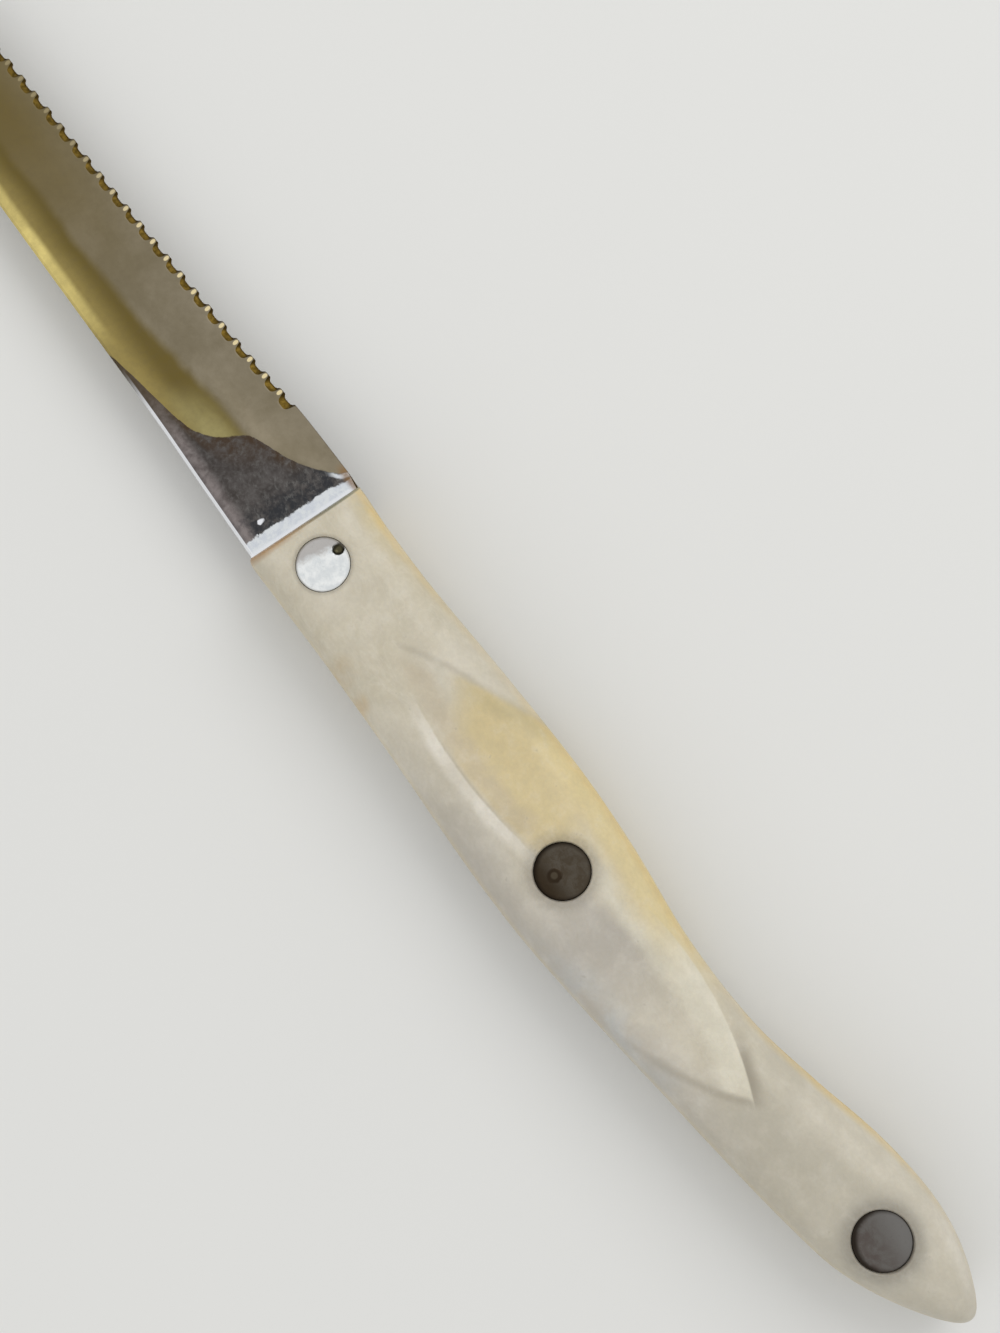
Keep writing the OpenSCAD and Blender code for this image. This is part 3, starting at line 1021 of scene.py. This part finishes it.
        # Painted highlights: a light dot on each tooth's tip.
        land = (tooth / self.land_size[0]) ** 2 + ((edge - 0.5) / self.land_size[1]) ** 2
        base = s.paint(
            self, base,
            stain=edge.step(1.4, 0.5) * fore.step(4.6, 2.2) * wave.step(0.3, 0.6, 0.4, 0.8),
            land=land.step(1.3, 0.75) * along.step(66, 44, 0.25))
        lines = s.noise(0.5, 2, at=s.mapped((6, 0.35, 1)))
        pits = s.noise(0.35, 2, 0.8).step(0.62, 0.78)
        rough = s.mix(ground, wave.step(0.3, 0.7, 0.16, 0.28), wave.step(0.3, 0.7, 0.38, 0.48))
        return s.finish(Base_Color=base, Metallic=1.0, Roughness=rough,
                        Normal=s.relief((lines, 0.006), (pits, 0.004)))

    def scallop(self, name: str) -> Material:
        """The dark wheel marks between the teeth.

        Args:
            name: Name of the material.

        Returns:
            The material.
        """
        s = Shader(name)
        base = s.paint(self, self.wheel, wheel_light=s.noise(0.7).step(0.35, 0.65),
                       wheel_foot=s.marks("from_edge")[0].step(0.75, 0.45))
        lines = s.noise(0.4, 2, at=s.mapped((9, 0.5, 1)))
        return s.finish(Base_Color=base, Metallic=1.0, Roughness=0.45,
                        Normal=s.relief((lines, 0.01)))


@dataclass(frozen=True)
class Spot:
    """A round mark on a rivet head: its place from the middle, its radius and its colours."""

    place: Plan
    radius: float
    core: Colour
    ring: Colour
    sunk: float


@dataclass(frozen=True)
class RivetFinish:
    """The metal of one rivet: two tones, a sector of painted light and shade, a rim crescent of
    soiling and painted shadow, and scratches.
    """

    face: Colour
    patch: Colour
    sector: Colour
    grime: Colour
    sector_heading: float
    sector_edge: float
    crescent_heading: float
    crescent_width: float
    patch_size: float
    rough: float
    scratch_depth: float
    rim_start: float = 0.9
    sector_fade: float = 0.3
    spot: Spot | None = None

    def material(self, name: str, centre: Vector, radius: float) -> Material:
        """The metal of one rivet.

        Args:
            name: Name of the material.
            centre: Middle of the rivet in the shared frame.
            radius: Radius of its head in millimetres.

        Returns:
            The material.
        """
        s = Shader(name)
        shift, depth = tuple(-centre), self.scratch_depth
        x, y = (s.node("ShaderNodeSeparateXYZ", {0: s.mapped(shift=shift)}, out=axis) / MM
                for axis in "XY")
        sector, crescent = ((x * cos(turn) + y * sin(turn)) / radius for turn in (
            radians(self.sector_heading), radians(self.crescent_heading)))
        cloud = s.noise(self.patch_size, 5, 0.7, bend=0.4)
        drift = (cloud - 0.5) * 0.7
        sector_end = self.sector_edge + self.sector_fade
        # Painted light and shade: the sector darkens one side of the bright and dark heads and
        # lightens one side of the grey head.
        base = s.paint(self, self.face, patch=cloud.step(0.38, 0.62),
                       sector=(sector + drift).step(self.sector_edge, sector_end),
                       grime=s.noise(0.3, rough=0.75).step(0.55, 0.85) * 0.3)
        if self.spot is not None:
            off = distance(x, y, self.spot.place) / self.spot.radius
            base = s.paint(self.spot, base, ring=(off + drift * 1.2).step(1.15, 0.85),
                           core=off.step(0.6, 0.35))
        # Darker rim, thicker on one side: soiling and painted shadow from the hole's wall.
        rim = distance(x, y, (0.0, 0.0)) / radius + crescent * self.crescent_width
        dirt = (rim + drift * 0.12).step(self.rim_start, 1.04)
        cut = s.noise(0.5, 2, at=s.mapped((1, 16, 1), 24, shift))
        cross = s.noise(0.6, 2, at=s.mapped((14, 1, 1), -18, shift))
        rough = cloud.step(0.3, 0.7, self.rough - 0.05, self.rough + 0.07) + dirt * 0.25
        return s.finish(Base_Color=s.paint(self, base, grime=dirt), Metallic=1.0, Roughness=rough,
                        Normal=s.relief((cloud, 4 * depth), (cut, depth), (cross, depth)))


# The front rivet's spot paints its sunk pit dark: painted shade in the recess.
BRIGHT_RIVET = RivetFinish(
    face=(221, 225, 226), patch=(236, 238, 237), sector=(184, 181, 178), grime=(120, 114, 102),
    sector_heading=-17, sector_edge=0.25, crescent_heading=-20, crescent_width=0.02,
    patch_size=1.4, rough=0.34, scratch_depth=0.004,
    spot=Spot((0.25, -2.72), 0.78, core=(80, 76, 56), ring=(52, 49, 36), sunk=0.45))
DARK_RIVET = RivetFinish(
    face=(73, 65, 54), patch=(84, 78, 69), sector=(55, 46, 35), grime=(42, 35, 27),
    sector_heading=88, sector_edge=0.0, crescent_heading=40, crescent_width=0.05,
    patch_size=1.3, rough=0.45, scratch_depth=0.012, rim_start=0.82, sector_fade=0.8,
    spot=Spot((0.23, 1.07), 0.9, core=(74, 66, 54), ring=(51, 42, 32), sunk=-0.1))
GREY_RIVET = RivetFinish(
    face=(102, 99, 95), patch=(90, 83, 79), sector=(114, 112, 109), grime=(50, 44, 38),
    sector_heading=-100, sector_edge=-0.3, crescent_heading=50, crescent_width=0.13,
    patch_size=2.4, rough=0.4, scratch_depth=0.005, rim_start=0.82, sector_fade=1.1)


@dataclass(frozen=True)
class Rivet:
    """One cutler's rivet: a solid post with its head up, pressed into a sleeve with its head down."""

    name: str
    slot: str
    finish: RivetFinish
    knife: KnifeFrame
    rim_round: float
    head_thickness: float = 1.6
    head_clear: float = 0.05
    edge_break: float = 0.1
    post_radius: float = 1.6
    post_bevel: float = 0.3
    sleeve_radius: float = 2.4
    bore_radius: float = 1.63
    face_rings: int = 26
    steps: int = 128
    sharp: float = 40.0

    def _box(self, half: str) -> list[Vector]:
        """Lowest and highest corner of one half, in the knife's millimetres."""
        return self.knife.box(f"{self.name}_rivet_{half}")

    @property
    def centre(self) -> Vector:
        """Middle of the rivet in plan."""
        low, high = self._box("post")
        return ((low + high) / 2).xy.to_3d()

    @property
    def head_radius(self) -> float:
        """Radius of both heads."""
        low, high = self._box("post")
        return (high.x - low.x) / 2

    @property
    def seat(self) -> float:
        """Height of the shoulder under a head, over the tang's middle."""
        return self._box("post")[1].z - self.head_thickness

    def _spun(self, shank: Sequence[Plan], flip: int) -> BMesh:
        """Spins a head and its shank round the rivet's axis.

        Args:
            shank: Radii and heights of the shank's profile, from the head to the axis.
            flip: 1 for the half with its head up, -1 for the half with its head down.

        Returns:
            The closed body.
        """
        radius, seat, cut = self.head_radius, self.seat, self.edge_break
        top = seat + self.head_thickness
        profile = [(r, top) for r in spread(0, radius - cut, self.face_rings)]
        profile += [(radius - cut + cut * sin(a), top - cut + cut * cos(a))
                    for a in (pi / 6, pi / 3, pi / 2)]
        mesh = bmesh.new()
        chain = [mesh.verts.new((r, 0.0, flip * z)) for r, z in (*profile, (radius, seat), *shank)]
        edges = [mesh.edges.new(pair) for pair in zip(chain, chain[1:])]
        bmesh.ops.spin(mesh, geom=chain + edges, cent=(0, 0, 0), axis=(0, 0, 1), dvec=(0, 0, 0),
                       angle=tau, steps=self.steps, use_merge=True, use_duplicate=False)
        bmesh.ops.remove_doubles(mesh, verts=mesh.verts, dist=MERGE)
        return mesh

    def _finish(self, mesh: BMesh, half: str, finish: RivetFinish) -> Object:
        """Moves a half to its place, and gives it its metal.

        Args:
            mesh: The half, spun round the upright axis.
            half: Which half it is.
            finish: Its metal.

        Returns:
            The dressed piece.
        """
        for vertex in mesh.verts:
            vertex.co = self.knife.point(*(vertex.co + self.centre))
        node = f"{self.name}_rivet_{half}"
        metal = finish.material(f"{node}_metal", self.knife.point(*self.centre), self.head_radius)
        return dress(piece_object(mesh, f"{node}_piece", self.sharp), node, self.slot, metal)

    def post(self) -> Object:
        """The solid half, with its head up.

        Returns:
            The dressed piece.
        """
        low, high = (corner.z for corner in self._box("post"))
        radius, bevel, spot = self.post_radius, self.post_bevel, self.finish.spot
        mesh = self._spun([(radius, self.seat), (radius, low + bevel), (radius - bevel, low),
                           (0.0, low)], 1)
        face = [v for v in mesh.verts if spot and v.co.z > high - 2 * self.edge_break]
        for vertex in face:
            near = 1 - ((vertex.co.xy - Vector(spot.place)).length / spot.radius) ** 2
            vertex.co.z -= spot.sunk * sqrt(max(near, 0.0))
        return self._finish(mesh, "post", self.finish)

    def sleeve(self) -> Object:
        """The tubular half, with its head down.

        Returns:
            The dressed piece.
        """
        end, outer, bore = -self._box("sleeve")[1].z, self.sleeve_radius, self.bore_radius
        mesh = self._spun([(outer, self.seat), (outer, end), (bore, end), (bore, self.seat),
                           (0.0, self.seat)], -1)
        return self._finish(mesh, "sleeve", replace(self.finish, spot=None))

    def rings(self) -> list[Ring]:
        """The rings of its hole in a scale, from the rounded rim down to the tang.

        Returns:
            The rings.
        """
        hole = self.head_radius + self.head_clear
        turns = spread(0, pi / 2, 4)
        rim = [Ring(hole + self.rim_round * (1 - sin(b)),
                    self.rim_round * (cos(a) - cos(b))) for a, b in zip(turns, turns[1:])]
        return [*rim, Ring(hole, level=self.seat), Ring(SHANK_HOLE, level=self.seat),
                Ring(SHANK_HOLE, level=self.knife.tang_half)]


class Side(Enum):
    """The face of the tang that a scale lies on, with the sign of its height."""

    RIGHT = 1
    LEFT = -1


@dataclass
class Scale:
    """One resin scale, with its holes for the rivets."""

    knife: KnifeFrame
    form: HandleForm
    rivets: Sequence[Rivet]
    finish: ResinFinish
    side: Side
    straight_columns: int = 352
    shoulder_rows: int = 14
    land_rows: int = 46
    inner_rows: int = 28
    front_columns: int = 8
    butt_columns: int = 40
    last_turn: float = radians(88.5)
    widest_shoulder: float = 0.85
    sharp: float = 38.0

    def _stations(self) -> list[float]:
        """Distances of the columns behind the front end, crowded at both rounded ends.

        Returns:
            The distances in millimetres.
        """
        form, end = self.form, self.knife.handle_end
        front = [form.front_round * (1 - cos(turn)) for turn in spread(0, pi / 2, self.front_columns)]
        butt = [end - form.butt_length * (1 - sin(min(turn, self.last_turn)))
                for turn in spread(0, pi / 2, self.butt_columns)]
        straight = spread(front[-1], butt[0], self.straight_columns)
        return front + straight[1:-1] + butt

    def _outer_section(self, s: float) -> list[Vector]:
        """One section of the outer face at distance s, with its rows crowded on the shoulders.

        Args:
            s: Distance behind the front end.

        Returns:
            The points, from the spine to the edge.
        """
        form, level = self.form, self.knife.tang_half
        half, middle = form.half(s), form.middle(s)
        spine, edge = (min(width, self.widest_shoulder * half) for width in form.shoulders(s))
        turns = spread(0, pi / 2, self.shoulder_rows)
        land = spread(half - spine, edge - half, self.land_rows)
        ys = [middle + y for y in (*(land[0] + spine * cos(turn) for turn in turns), *land[1:-1],
                                   *(land[-1] - edge * cos(turn) for turn in reversed(turns)))]
        zs = (level, *(form.height(s, y) for y in ys[1:-1]), level)
        return [Vector((form.slant(s, y) - s - form.lean(s, z - level), y, z)) for y, z in zip(ys, zs)]

    def _inner_section(self, s: float) -> list[Vector]:
        """One section of the flat inner face at distance s.

        Args:
            s: Distance behind the front end.

        Returns:
            The points, from the spine to the edge.
        """
        half, middle = self.form.half(s), self.form.middle(s)
        return [Vector((self.form.slant(s, y) - s, y, self.knife.tang_half))
                for y in spread(middle + half, middle - half, self.inner_rows)]

    def _inner_face(self, mesh: BMesh, bores: Sequence[list[BMEdge]]) -> None:
        """Adds the flat inner face, joins it to the skin and the bores, and fills both ends.

        Args:
            mesh: The bmesh that holds the skin.
            bores: The lowest ring of each rivet hole, on the level of the inner face.
        """
        table = skin(mesh, [self._inner_section(s) for s in self._stations()])
        for rivet, bore in zip(self.rivets, bores):
            rim = open_hole(mesh, sum(table, []), rivet.centre, rivet.head_radius,
                            lambda x, y: self.knife.tang_half)
            bmesh.ops.bridge_loops(mesh, edges=rim + bore)
        rims = {vertex for edge in mesh.edges if edge.is_boundary for vertex in edge.verts}
        bmesh.ops.remove_doubles(mesh, verts=list(rims), dist=MERGE)
        bmesh.ops.holes_fill(mesh, edges=[edge for edge in mesh.edges if edge.is_boundary], sides=0)

    def _marks(self, point: Vector) -> dict[str, float]:
        """Distances in millimetres that the resin's colours are placed by.

        Args:
            point: A place on the scale, in millimetres.

        Returns:
            The distances, by their names.
        """
        (x, y, z), form = point, self.form
        front, rear = form.front_hollow, form.rear_hollow
        s = form.station(x, y, z - self.knife.tang_half)
        half, off = form.half(s), y - form.middle(s)
        halos = [(point.xy - rivet.centre.xy).length - rivet.head_radius for rivet in self.rivets]
        return {"ridge": front.ridge_depth(x, y), "crease": front.crease_depth(x, y),
                "back_ridge": rear.ridge_depth(x, y), "back_crease": rear.crease_depth(x, y),
                "behind": s, "from_edge": half + off, "from_spine": half - off,
                "front_halo": halos[0], "halo": min(halos[1:])}

    def build(self) -> Object:
        """Models the scale and dresses it.

        Returns:
            The dressed piece.
        """
        form, mesh, bores = self.form, bmesh.new(), []
        table = skin(mesh, [self._outer_section(s) for s in self._stations()])
        for rivet in self.rivets:
            radius = rivet.head_radius + rivet.head_clear + rivet.rim_round
            rim = open_hole(mesh, sum(table, []), rivet.centre, radius,
                            lambda x, y: form.height(form.station(x, y), y))
            bores.append(sink(mesh, rim, rivet.centre, rivet.rings()))
        self._inner_face(mesh, bores)
        settle(mesh, self._marks, lambda p: self.knife.point(p.x, p.y, self.side.value * p.z))
        name = f"{self.side.name.lower()}_scale"
        return dress(piece_object(mesh, f"{name}_piece", self.sharp), name, "handle_resin",
                     self.finish.material(f"{name}_resin"))


@dataclass(frozen=True)
class BladeForm:
    """The outline, hollow grind and teeth of the blade."""

    knife: KnifeFrame
    width: float = 17.2
    edge_half: float = 0.15
    tip_half: float = 0.5
    tip_height: float = 0.7
    grind_length: float = 18.0
    grind_curve: float = 1.5
    full_share: float = 0.35
    heel: float = 13.0
    plain_tip: float = 9.0
    pitch: float = 3.1
    scallop_depth: float = 0.84
    scallop_lean: float = radians(69)
    scallop_half: float = 1.24
    scallop_power: float = 4.5
    least_facet: float = 0.04
    off_row: float = 99.0

    @property
    def teeth(self) -> int:
        """Number of scallops."""
        return int((self.knife.blade_length - self.plain_tip - self.heel) / self.pitch)

    def spine(self, x: float) -> float:
        """Height of the spine at distance x."""
        return self.width * BLADE_OUTLINE.at(x / self.knife.blade_length)

    def edge(self, x: float) -> float:
        """Height of the line of the tooth tips at distance x."""
        low = self.width * BLADE_OUTLINE.at(x / self.knife.blade_length, 2)
        return min(low, self.spine(x) - self.tip_height)

    def grind_start(self, y: float) -> float:
        """Distance from the handle at which the hollow grind starts at height y."""
        return self.knife.blade_length * GRIND_START.at(y / self.width)

    def half(self, x: float, y: float) -> float:
        """Half thickness of the ground blade at a point.

        Args:
            x: Distance in front of the handle.
            y: Height in plan.

        Returns:
            The half thickness in millimetres.
        """
        spine = self.spine(x)
        share = held((spine - y) / (spine - self.edge(x)))
        thin = soft((x / self.knife.blade_length - self.full_share) / (1 - self.full_share))
        stock = mixed(self.knife.tang_half, self.tip_half, thin)
        cut = (stock - self.edge_half) * (1 - (1 - share) ** self.grind_curve)
        return stock - cut * rise((x - self.grind_start(y)) / self.grind_length)

    def from_land(self, x: float) -> float:
        """Distance from the middle of the nearest tooth, or a large one off the row.

        Args:
            x: Distance in front of the handle.

        Returns:
            The distance in millimetres.
        """
        phase = (x - self.heel) / self.pitch
        on_row = 0.5 <= phase <= self.teeth - 0.5
        return abs(phase - round(phase)) * self.pitch if on_row else self.off_row

    def wheel(self, x: float) -> float:
        """Height of the wheel's profile over the bottom of a scallop, or a large one off the row.

        Args:
            x: Distance in front of the handle.

        Returns:
            The height in millimetres.
        """
        phase, lean = (x - self.heel) / self.pitch, self.scallop_lean
        if not 0 < phase < self.teeth:
            return self.off_row
        off = abs(phase % 1 - 0.5) * self.pitch
        full = self.edge_half * sin(lean) + self.scallop_depth * cos(lean)
        return full * (off / self.scallop_half) ** self.scallop_power

    def cut_half(self, x: float, y: float) -> float:
        """Half thickness that a scallop's facet leaves at a point."""
        foot, lean = self.edge(x) + self.scallop_depth, self.scallop_lean
        return (self.wheel(x) + (y - foot) * cos(lean)) / sin(lean)

    def _facet(self, x: float, z: float) -> float:
        """Height at which a scallop's facet leaves a half thickness z."""
        foot, lean = self.edge(x) + self.scallop_depth, self.scallop_lean
        return foot + (z * sin(lean) - self.wheel(x)) / cos(lean)

    def gullet(self, x: float) -> float:
        """Height of the toothed edge at distance x."""
        return max(self.edge(x), self._facet(x, -self.edge_half))

    def crest(self, x: float) -> float:
        """Height at which a scallop's facet starts on the right face.

        Args:
            x: Distance in front of the handle.

        Returns:
            The height in plan.
        """
        y = self.gullet(x)
        least = y + self.least_facet
        for _ in range(4):
            y = self._facet(x, self.half(x, y))
        return max(y, least)


@dataclass
class Blade:
    """The blade with its full tang, skinned column by column from the butt to the tip."""

    knife: KnifeFrame
    form: BladeForm
    handle: HandleForm
    rivets: Sequence[Rivet]
    finish: SteelFinish
    proud: float = 0.15
    least_tang: float = 0.05
    chamfer: float = 0.35
    tang_columns: int = 260
    tang_crowding: float = 1.5
    heel_columns: int = 44
    tooth_columns: int = 20
    tip_columns: int = 34
    face_rows: int = 26
    fine_rows: int = 8
    facet_rows: int = 4
    back_rows: int = 16
    back_crowding: float = 1.3
    near_edge: float = 2.2
    flat_foot: float = 0.02
    glint: Plan = (3.9, 2.95)
    glint_shape: float = 0.8
    sharp: float = 28.0

    def _sections(self) -> list[list[Vector]]:
        """The sections from the butt to the tip, of the tang first and then of the blade.

        Returns:
            The sections.
        """
        knife, form, handle = self.knife, self.form, self.handle
        end, front = knife.handle_end - self.proud, 2 * handle.front_round
        start = tan(handle.front_slant) * form.width / 2 + handle.front_round / 2
        last_tooth = form.heel + form.teeth * form.pitch
        tang = spread(end, front, self.tang_columns, self.tang_crowding)
        heel = spread(start, form.heel, self.heel_columns)[:-1]
        row = spread(form.heel, last_tooth, form.teeth * self.tooth_columns)[:-1]
        tip = [mixed(last_tooth, knife.blade_length, rise(t)) for t in spread(0, 1, self.tip_columns)]
        return [*map(self._tang_section, tang), *map(self._blade_section, heel + row + tip)]

    def _face_heights(self, crest: float, spine: float) -> list[float]:
        """Heights of the rows of one face, close together near the edge.

        Args:
            crest: Height of the lowest row.
            spine: Height of the highest row.

        Returns:
            The heights, from the spine down.
        """
        knee = min(crest + self.near_edge, (crest + spine) / 2)
        wide = spread(spine, knee, self.face_rows - self.fine_rows)[:-1]
        return wide + spread(knee, crest, self.fine_rows)

    def _tang_section(self, s: float) -> list[Vector]:
        """One section of the tang at distance s behind the front of the scales.

        Args:
            s: Distance behind the front end.

        Returns:
            The points of a closed loop from the spine.
        """
        handle, half = self.handle, self.knife.tang_half
        reach = max(handle.half(s) - self.proud, self.least_tang)
        top, low = handle.middle(s) + reach, handle.middle(s) - reach
        inset = min(self.chamfer, reach / 10)
        corner = half - inset / 8
        ys = self._face_heights(low + inset, top - inset)
        ys += spread(low + inset, low, self.facet_rows)[1:]
        back = spread(low, top - inset, self.back_rows)
        section = [(top, corner), *((y, half) for y in ys), *((y, -half) for y in back),
                   (top, -corner), (top, corner)]
        return [Vector((handle.slant(s, y) - s, y, z)) for y, z in section]

    def _blade_section(self, x: float) -> list[Vector]:
        """One section of the ground blade at distance x.

        Args:
            x: Distance in front of the handle.

        Returns:
            The points of a closed loop from the spine.
        """
        form = self.form
        spine, crest, low = form.spine(x), form.crest(x), form.gullet(x)
        inset = min(self.chamfer, (spine - low) / 8)
        corner = form.half(x, spine) - inset
        face = [(y, form.half(x, y)) for y in self._face_heights(crest, spine - inset)]
        facet = [(y, max(min(form.half(x, y), form.cut_half(x, y)), self.flat_foot - form.edge_half))
                 for y in spread(crest, low, self.facet_rows)[1:]]
        back = [(y, -form.half(x, y))
                for y in spread(low, spine - inset, self.back_rows, self.back_crowding)]
        section = [(spine, corner), *face, *facet, *back, (spine, -corner), (spine, corner)]
        return [Vector((x, y, z)) for y, z in section]

    def _marks(self, point: Vector) -> dict[str, float]:
        """Places on the blade that its steel is coloured by, in millimetres or as shares.

        Args:
            point: A place on the blade, in millimetres.

        Returns:
            The values, by their names.
        """
        x, y, _ = point
        form, glint = self.form, self.glint
        spine, edge = form.spine(max(x, 0.0)), form.edge(max(x, 0.0))
        return {"along": x, "across": (spine - y) / (spine - edge), "grind": x - form.grind_start(y),
                "from_spine": spine - y, "from_edge": y - edge, "tooth": form.from_land(x),
                "fore": x - self.handle.slant(0.0, y),
                "glint": hypot(x - glint[0], self.glint_shape * (y - glint[1]))}

    def _drill_tang(self, mesh: BMesh, skin: Sequence[BMVert]) -> None:
        """Cuts the shank holes through both faces of the tang, and joins their rims.

        Args:
            mesh: The blade.
            skin: The corners of its skin.
        """
        for rivet in self.rivets:
            rims = []
            for half in (self.knife.tang_half, -self.knife.tang_half):
                face = [v for v in skin if v.is_valid and v.co.x < 0 and half * v.co.z > 0]
                rims += open_hole(mesh, face, rivet.centre, SHANK_HOLE, lambda x, y, z=half: z)
            bmesh.ops.bridge_loops(mesh, edges=rims)

    def build(self) -> Object:
        """Models the blade and dresses it.

        Returns:
            The dressed piece.
        """
        mesh = bmesh.new()
        table = skin(mesh, self._sections())
        crest = self.face_rows + 1
        for column in table[self.tang_columns + 1:]:
            for above, vertex in zip(column[crest:], column[crest + 1:][:self.facet_rows]):
                for face in vertex.link_faces:
                    if above in face.verts:
                        face.material_index = 1
        faces = [vertex for column in table for vertex in column[:-1]]
        bmesh.ops.weld_verts(mesh, targetmap={column[-1]: column[0] for column in table})
        for column in (table[0], table[-1]):
            bmesh.ops.contextual_create(mesh, geom=column[:-1])
        self._drill_tang(mesh, faces)
        settle(mesh, self._marks, lambda p: self.knife.point(*p))
        return dress(piece_object(mesh, "blade_piece", self.sharp), "blade", "blade_steel",
                     self.finish.face("blade_steel"), self.finish.scallop("scallop_steel"))


@dataclass(frozen=True)
class Lamp:
    """A square soft lamp: its share of the light, its direction in degrees and its size."""

    name: str
    share: float
    tilt: float
    heading: float
    distance: float = 0.8
    size: float = 0.5

    def hang(self, target: Vector) -> None:
        """Hangs the lamp so that it shines on a target.

        Args:
            target: The lit point.
        """
        tilt, heading = radians(self.tilt), radians(self.heading)
        data = bpy.data.lights.new(self.name, "AREA")
        data.shape = "SQUARE"
        data.size = self.size
        data.energy = self.share * (pi * self.distance) ** 2 / cos(tilt)
        out = Vector((sin(tilt) * cos(heading), sin(tilt) * sin(heading),
                      cos(tilt)))
        turn = out.to_track_quat("Z", "Y").to_matrix().to_4x4()
        lamp = new_object(self.name, data)
        lamp.matrix_world = Matrix.Translation(target + out * self.distance) @ turn


@dataclass(frozen=True)
class Studio:
    """A plain pale floor, soft lamps and the photograph's camera."""

    knife: KnifeFrame
    floor_size: float = 3.0
    floor_gap: float = 0.00003
    floor_colour: Colour = (222, 222, 219)
    floor_patch: Colour = (214, 214, 212)
    sky: float = 0.78
    backdrop: float = 0.86
    lamps: tuple[Lamp, ...] = (Lamp("key_lamp", share=0.215, tilt=42, heading=-75),
                               Lamp("fill_lamp", share=0.055, tilt=48, heading=100))
    lit_point: tuple[float, float, float] = (-50, 0, 0)
    eye: tuple[float, float, float] = (-63.2, -8.6, 201.4)
    aim: tuple[float, float, float] = (-30.9, -8.8, 0.0)
    up_heading: float = radians(-39.6)
    focal_pixels: float = 1600.0
    frame_height: float = 1333.0
    sensor: float = 36.0
    clip_start: float = 0.005

    def floor(self) -> None:
        """The floor, which the left scale lies on."""
        mesh = bmesh.new()
        bmesh.ops.create_grid(mesh, x_segments=8, y_segments=8, size=self.floor_size / 2)
        bmesh.ops.translate(mesh, verts=mesh.verts, vec=(0, 0, cad_box[0].z - self.floor_gap))
        floor = piece_object(mesh, "floor", sharp=30)
        s = Shader("floor_paint")
        pale = s.paint(self, self.floor_colour, floor_patch=s.noise(60) * 0.25)
        floor.data.materials.append(s.finish(Base_Color=pale, Roughness=0.9,
                                             Specular_IOR_Level=0.2))

    def light(self) -> None:
        """The soft lamps, and an even surround that metal and the camera see at its full tone."""
        for lamp in self.lamps:
            lamp.hang(self.knife.point(*self.lit_point))
        s = Shader("studio", world=True)
        seen, glossy, through = (s.node("ShaderNodeLightPath", out=f"Is {kind} Ray")
                                 for kind in ("Camera", "Glossy", "Transmission"))
        level = seen.most(glossy).most(through) * (self.backdrop - self.sky) + self.sky
        bpy.context.scene.world = s.finish(Color=(1.0, 1.0, 1.0, 1.0), Strength=level)

    def camera(self) -> None:
        """The camera at the photograph's place and angle."""
        data = bpy.data.cameras.new("camera")
        data.sensor_width = self.sensor
        data.lens = self.focal_pixels / self.frame_height * self.sensor
        data.clip_start = self.clip_start
        eye, aim = self.knife.point(*self.eye), self.knife.point(*self.aim)
        back = (eye - aim).normalized()
        up = Vector((cos(self.up_heading), sin(self.up_heading), 0))
        right = up.cross(back).normalized()
        turn = Matrix((right, back.cross(right), back)).transposed().to_4x4()
        camera = new_object("camera", data)
        camera.matrix_world = Matrix.Translation(eye) @ turn
        bpy.context.scene.camera = camera


@dataclass
class Knife:
    """The whole knife, from its frame to its finished pieces."""

    knife: KnifeFrame = field(default_factory=KnifeFrame.measured)
    front_ridge_shares: Line = ((0.166, -0.01), (0.394, 0.158))
    front_crease_shares: Line = ((0.184, -0.112), (0.317, -0.452))
    rear_ridge_shares: Line = ((0.717, 0.053), (0.509, -0.195))
    rear_crease_shares: Line = ((0.695, 0.211), (0.619, 0.426))

    def build(self) -> list[Object]:
        """Builds every piece, from the blade to the last rivet.

        Returns:
            The pieces.
        """
        knife = self.knife
        handle = HandleForm(
            knife, Hollow(knife, self.front_ridge_shares, self.front_crease_shares, bulge_share=0.085),
            Hollow(knife, self.rear_ridge_shares, self.rear_crease_shares, bulge_share=0.11))
        rivets = [
            Rivet("front", "rivet_bright", BRIGHT_RIVET, knife, rim_round=0.08),
            Rivet("middle", "rivet_dark", DARK_RIVET, knife, rim_round=0.3),
            Rivet("rear", "rivet_grey", GREY_RIVET, knife, rim_round=0.35),
        ]
        pieces = [Blade(knife, BladeForm(knife), handle, rivets, SteelFinish()).build()]
        pieces += [Scale(knife, handle, rivets, ResinFinish(), side).build() for side in Side]
        for rivet in rivets:
            pieces += [rivet.post(), rivet.sleeve()]
        return pieces


def main() -> None:
    """Builds the knife and the studio."""
    logging.basicConfig(level=logging.INFO, format="%(name)s: %(message)s")
    bpy.context.scene.view_settings.view_transform = "Standard"
    whole = Knife()
    for piece in whole.build():
        log.info("built %s with %d faces", piece.name, len(piece.data.polygons))
    studio = Studio(whole.knife)
    studio.floor()
    studio.light()
    studio.camera()


if __name__ == "__main__":
    main()
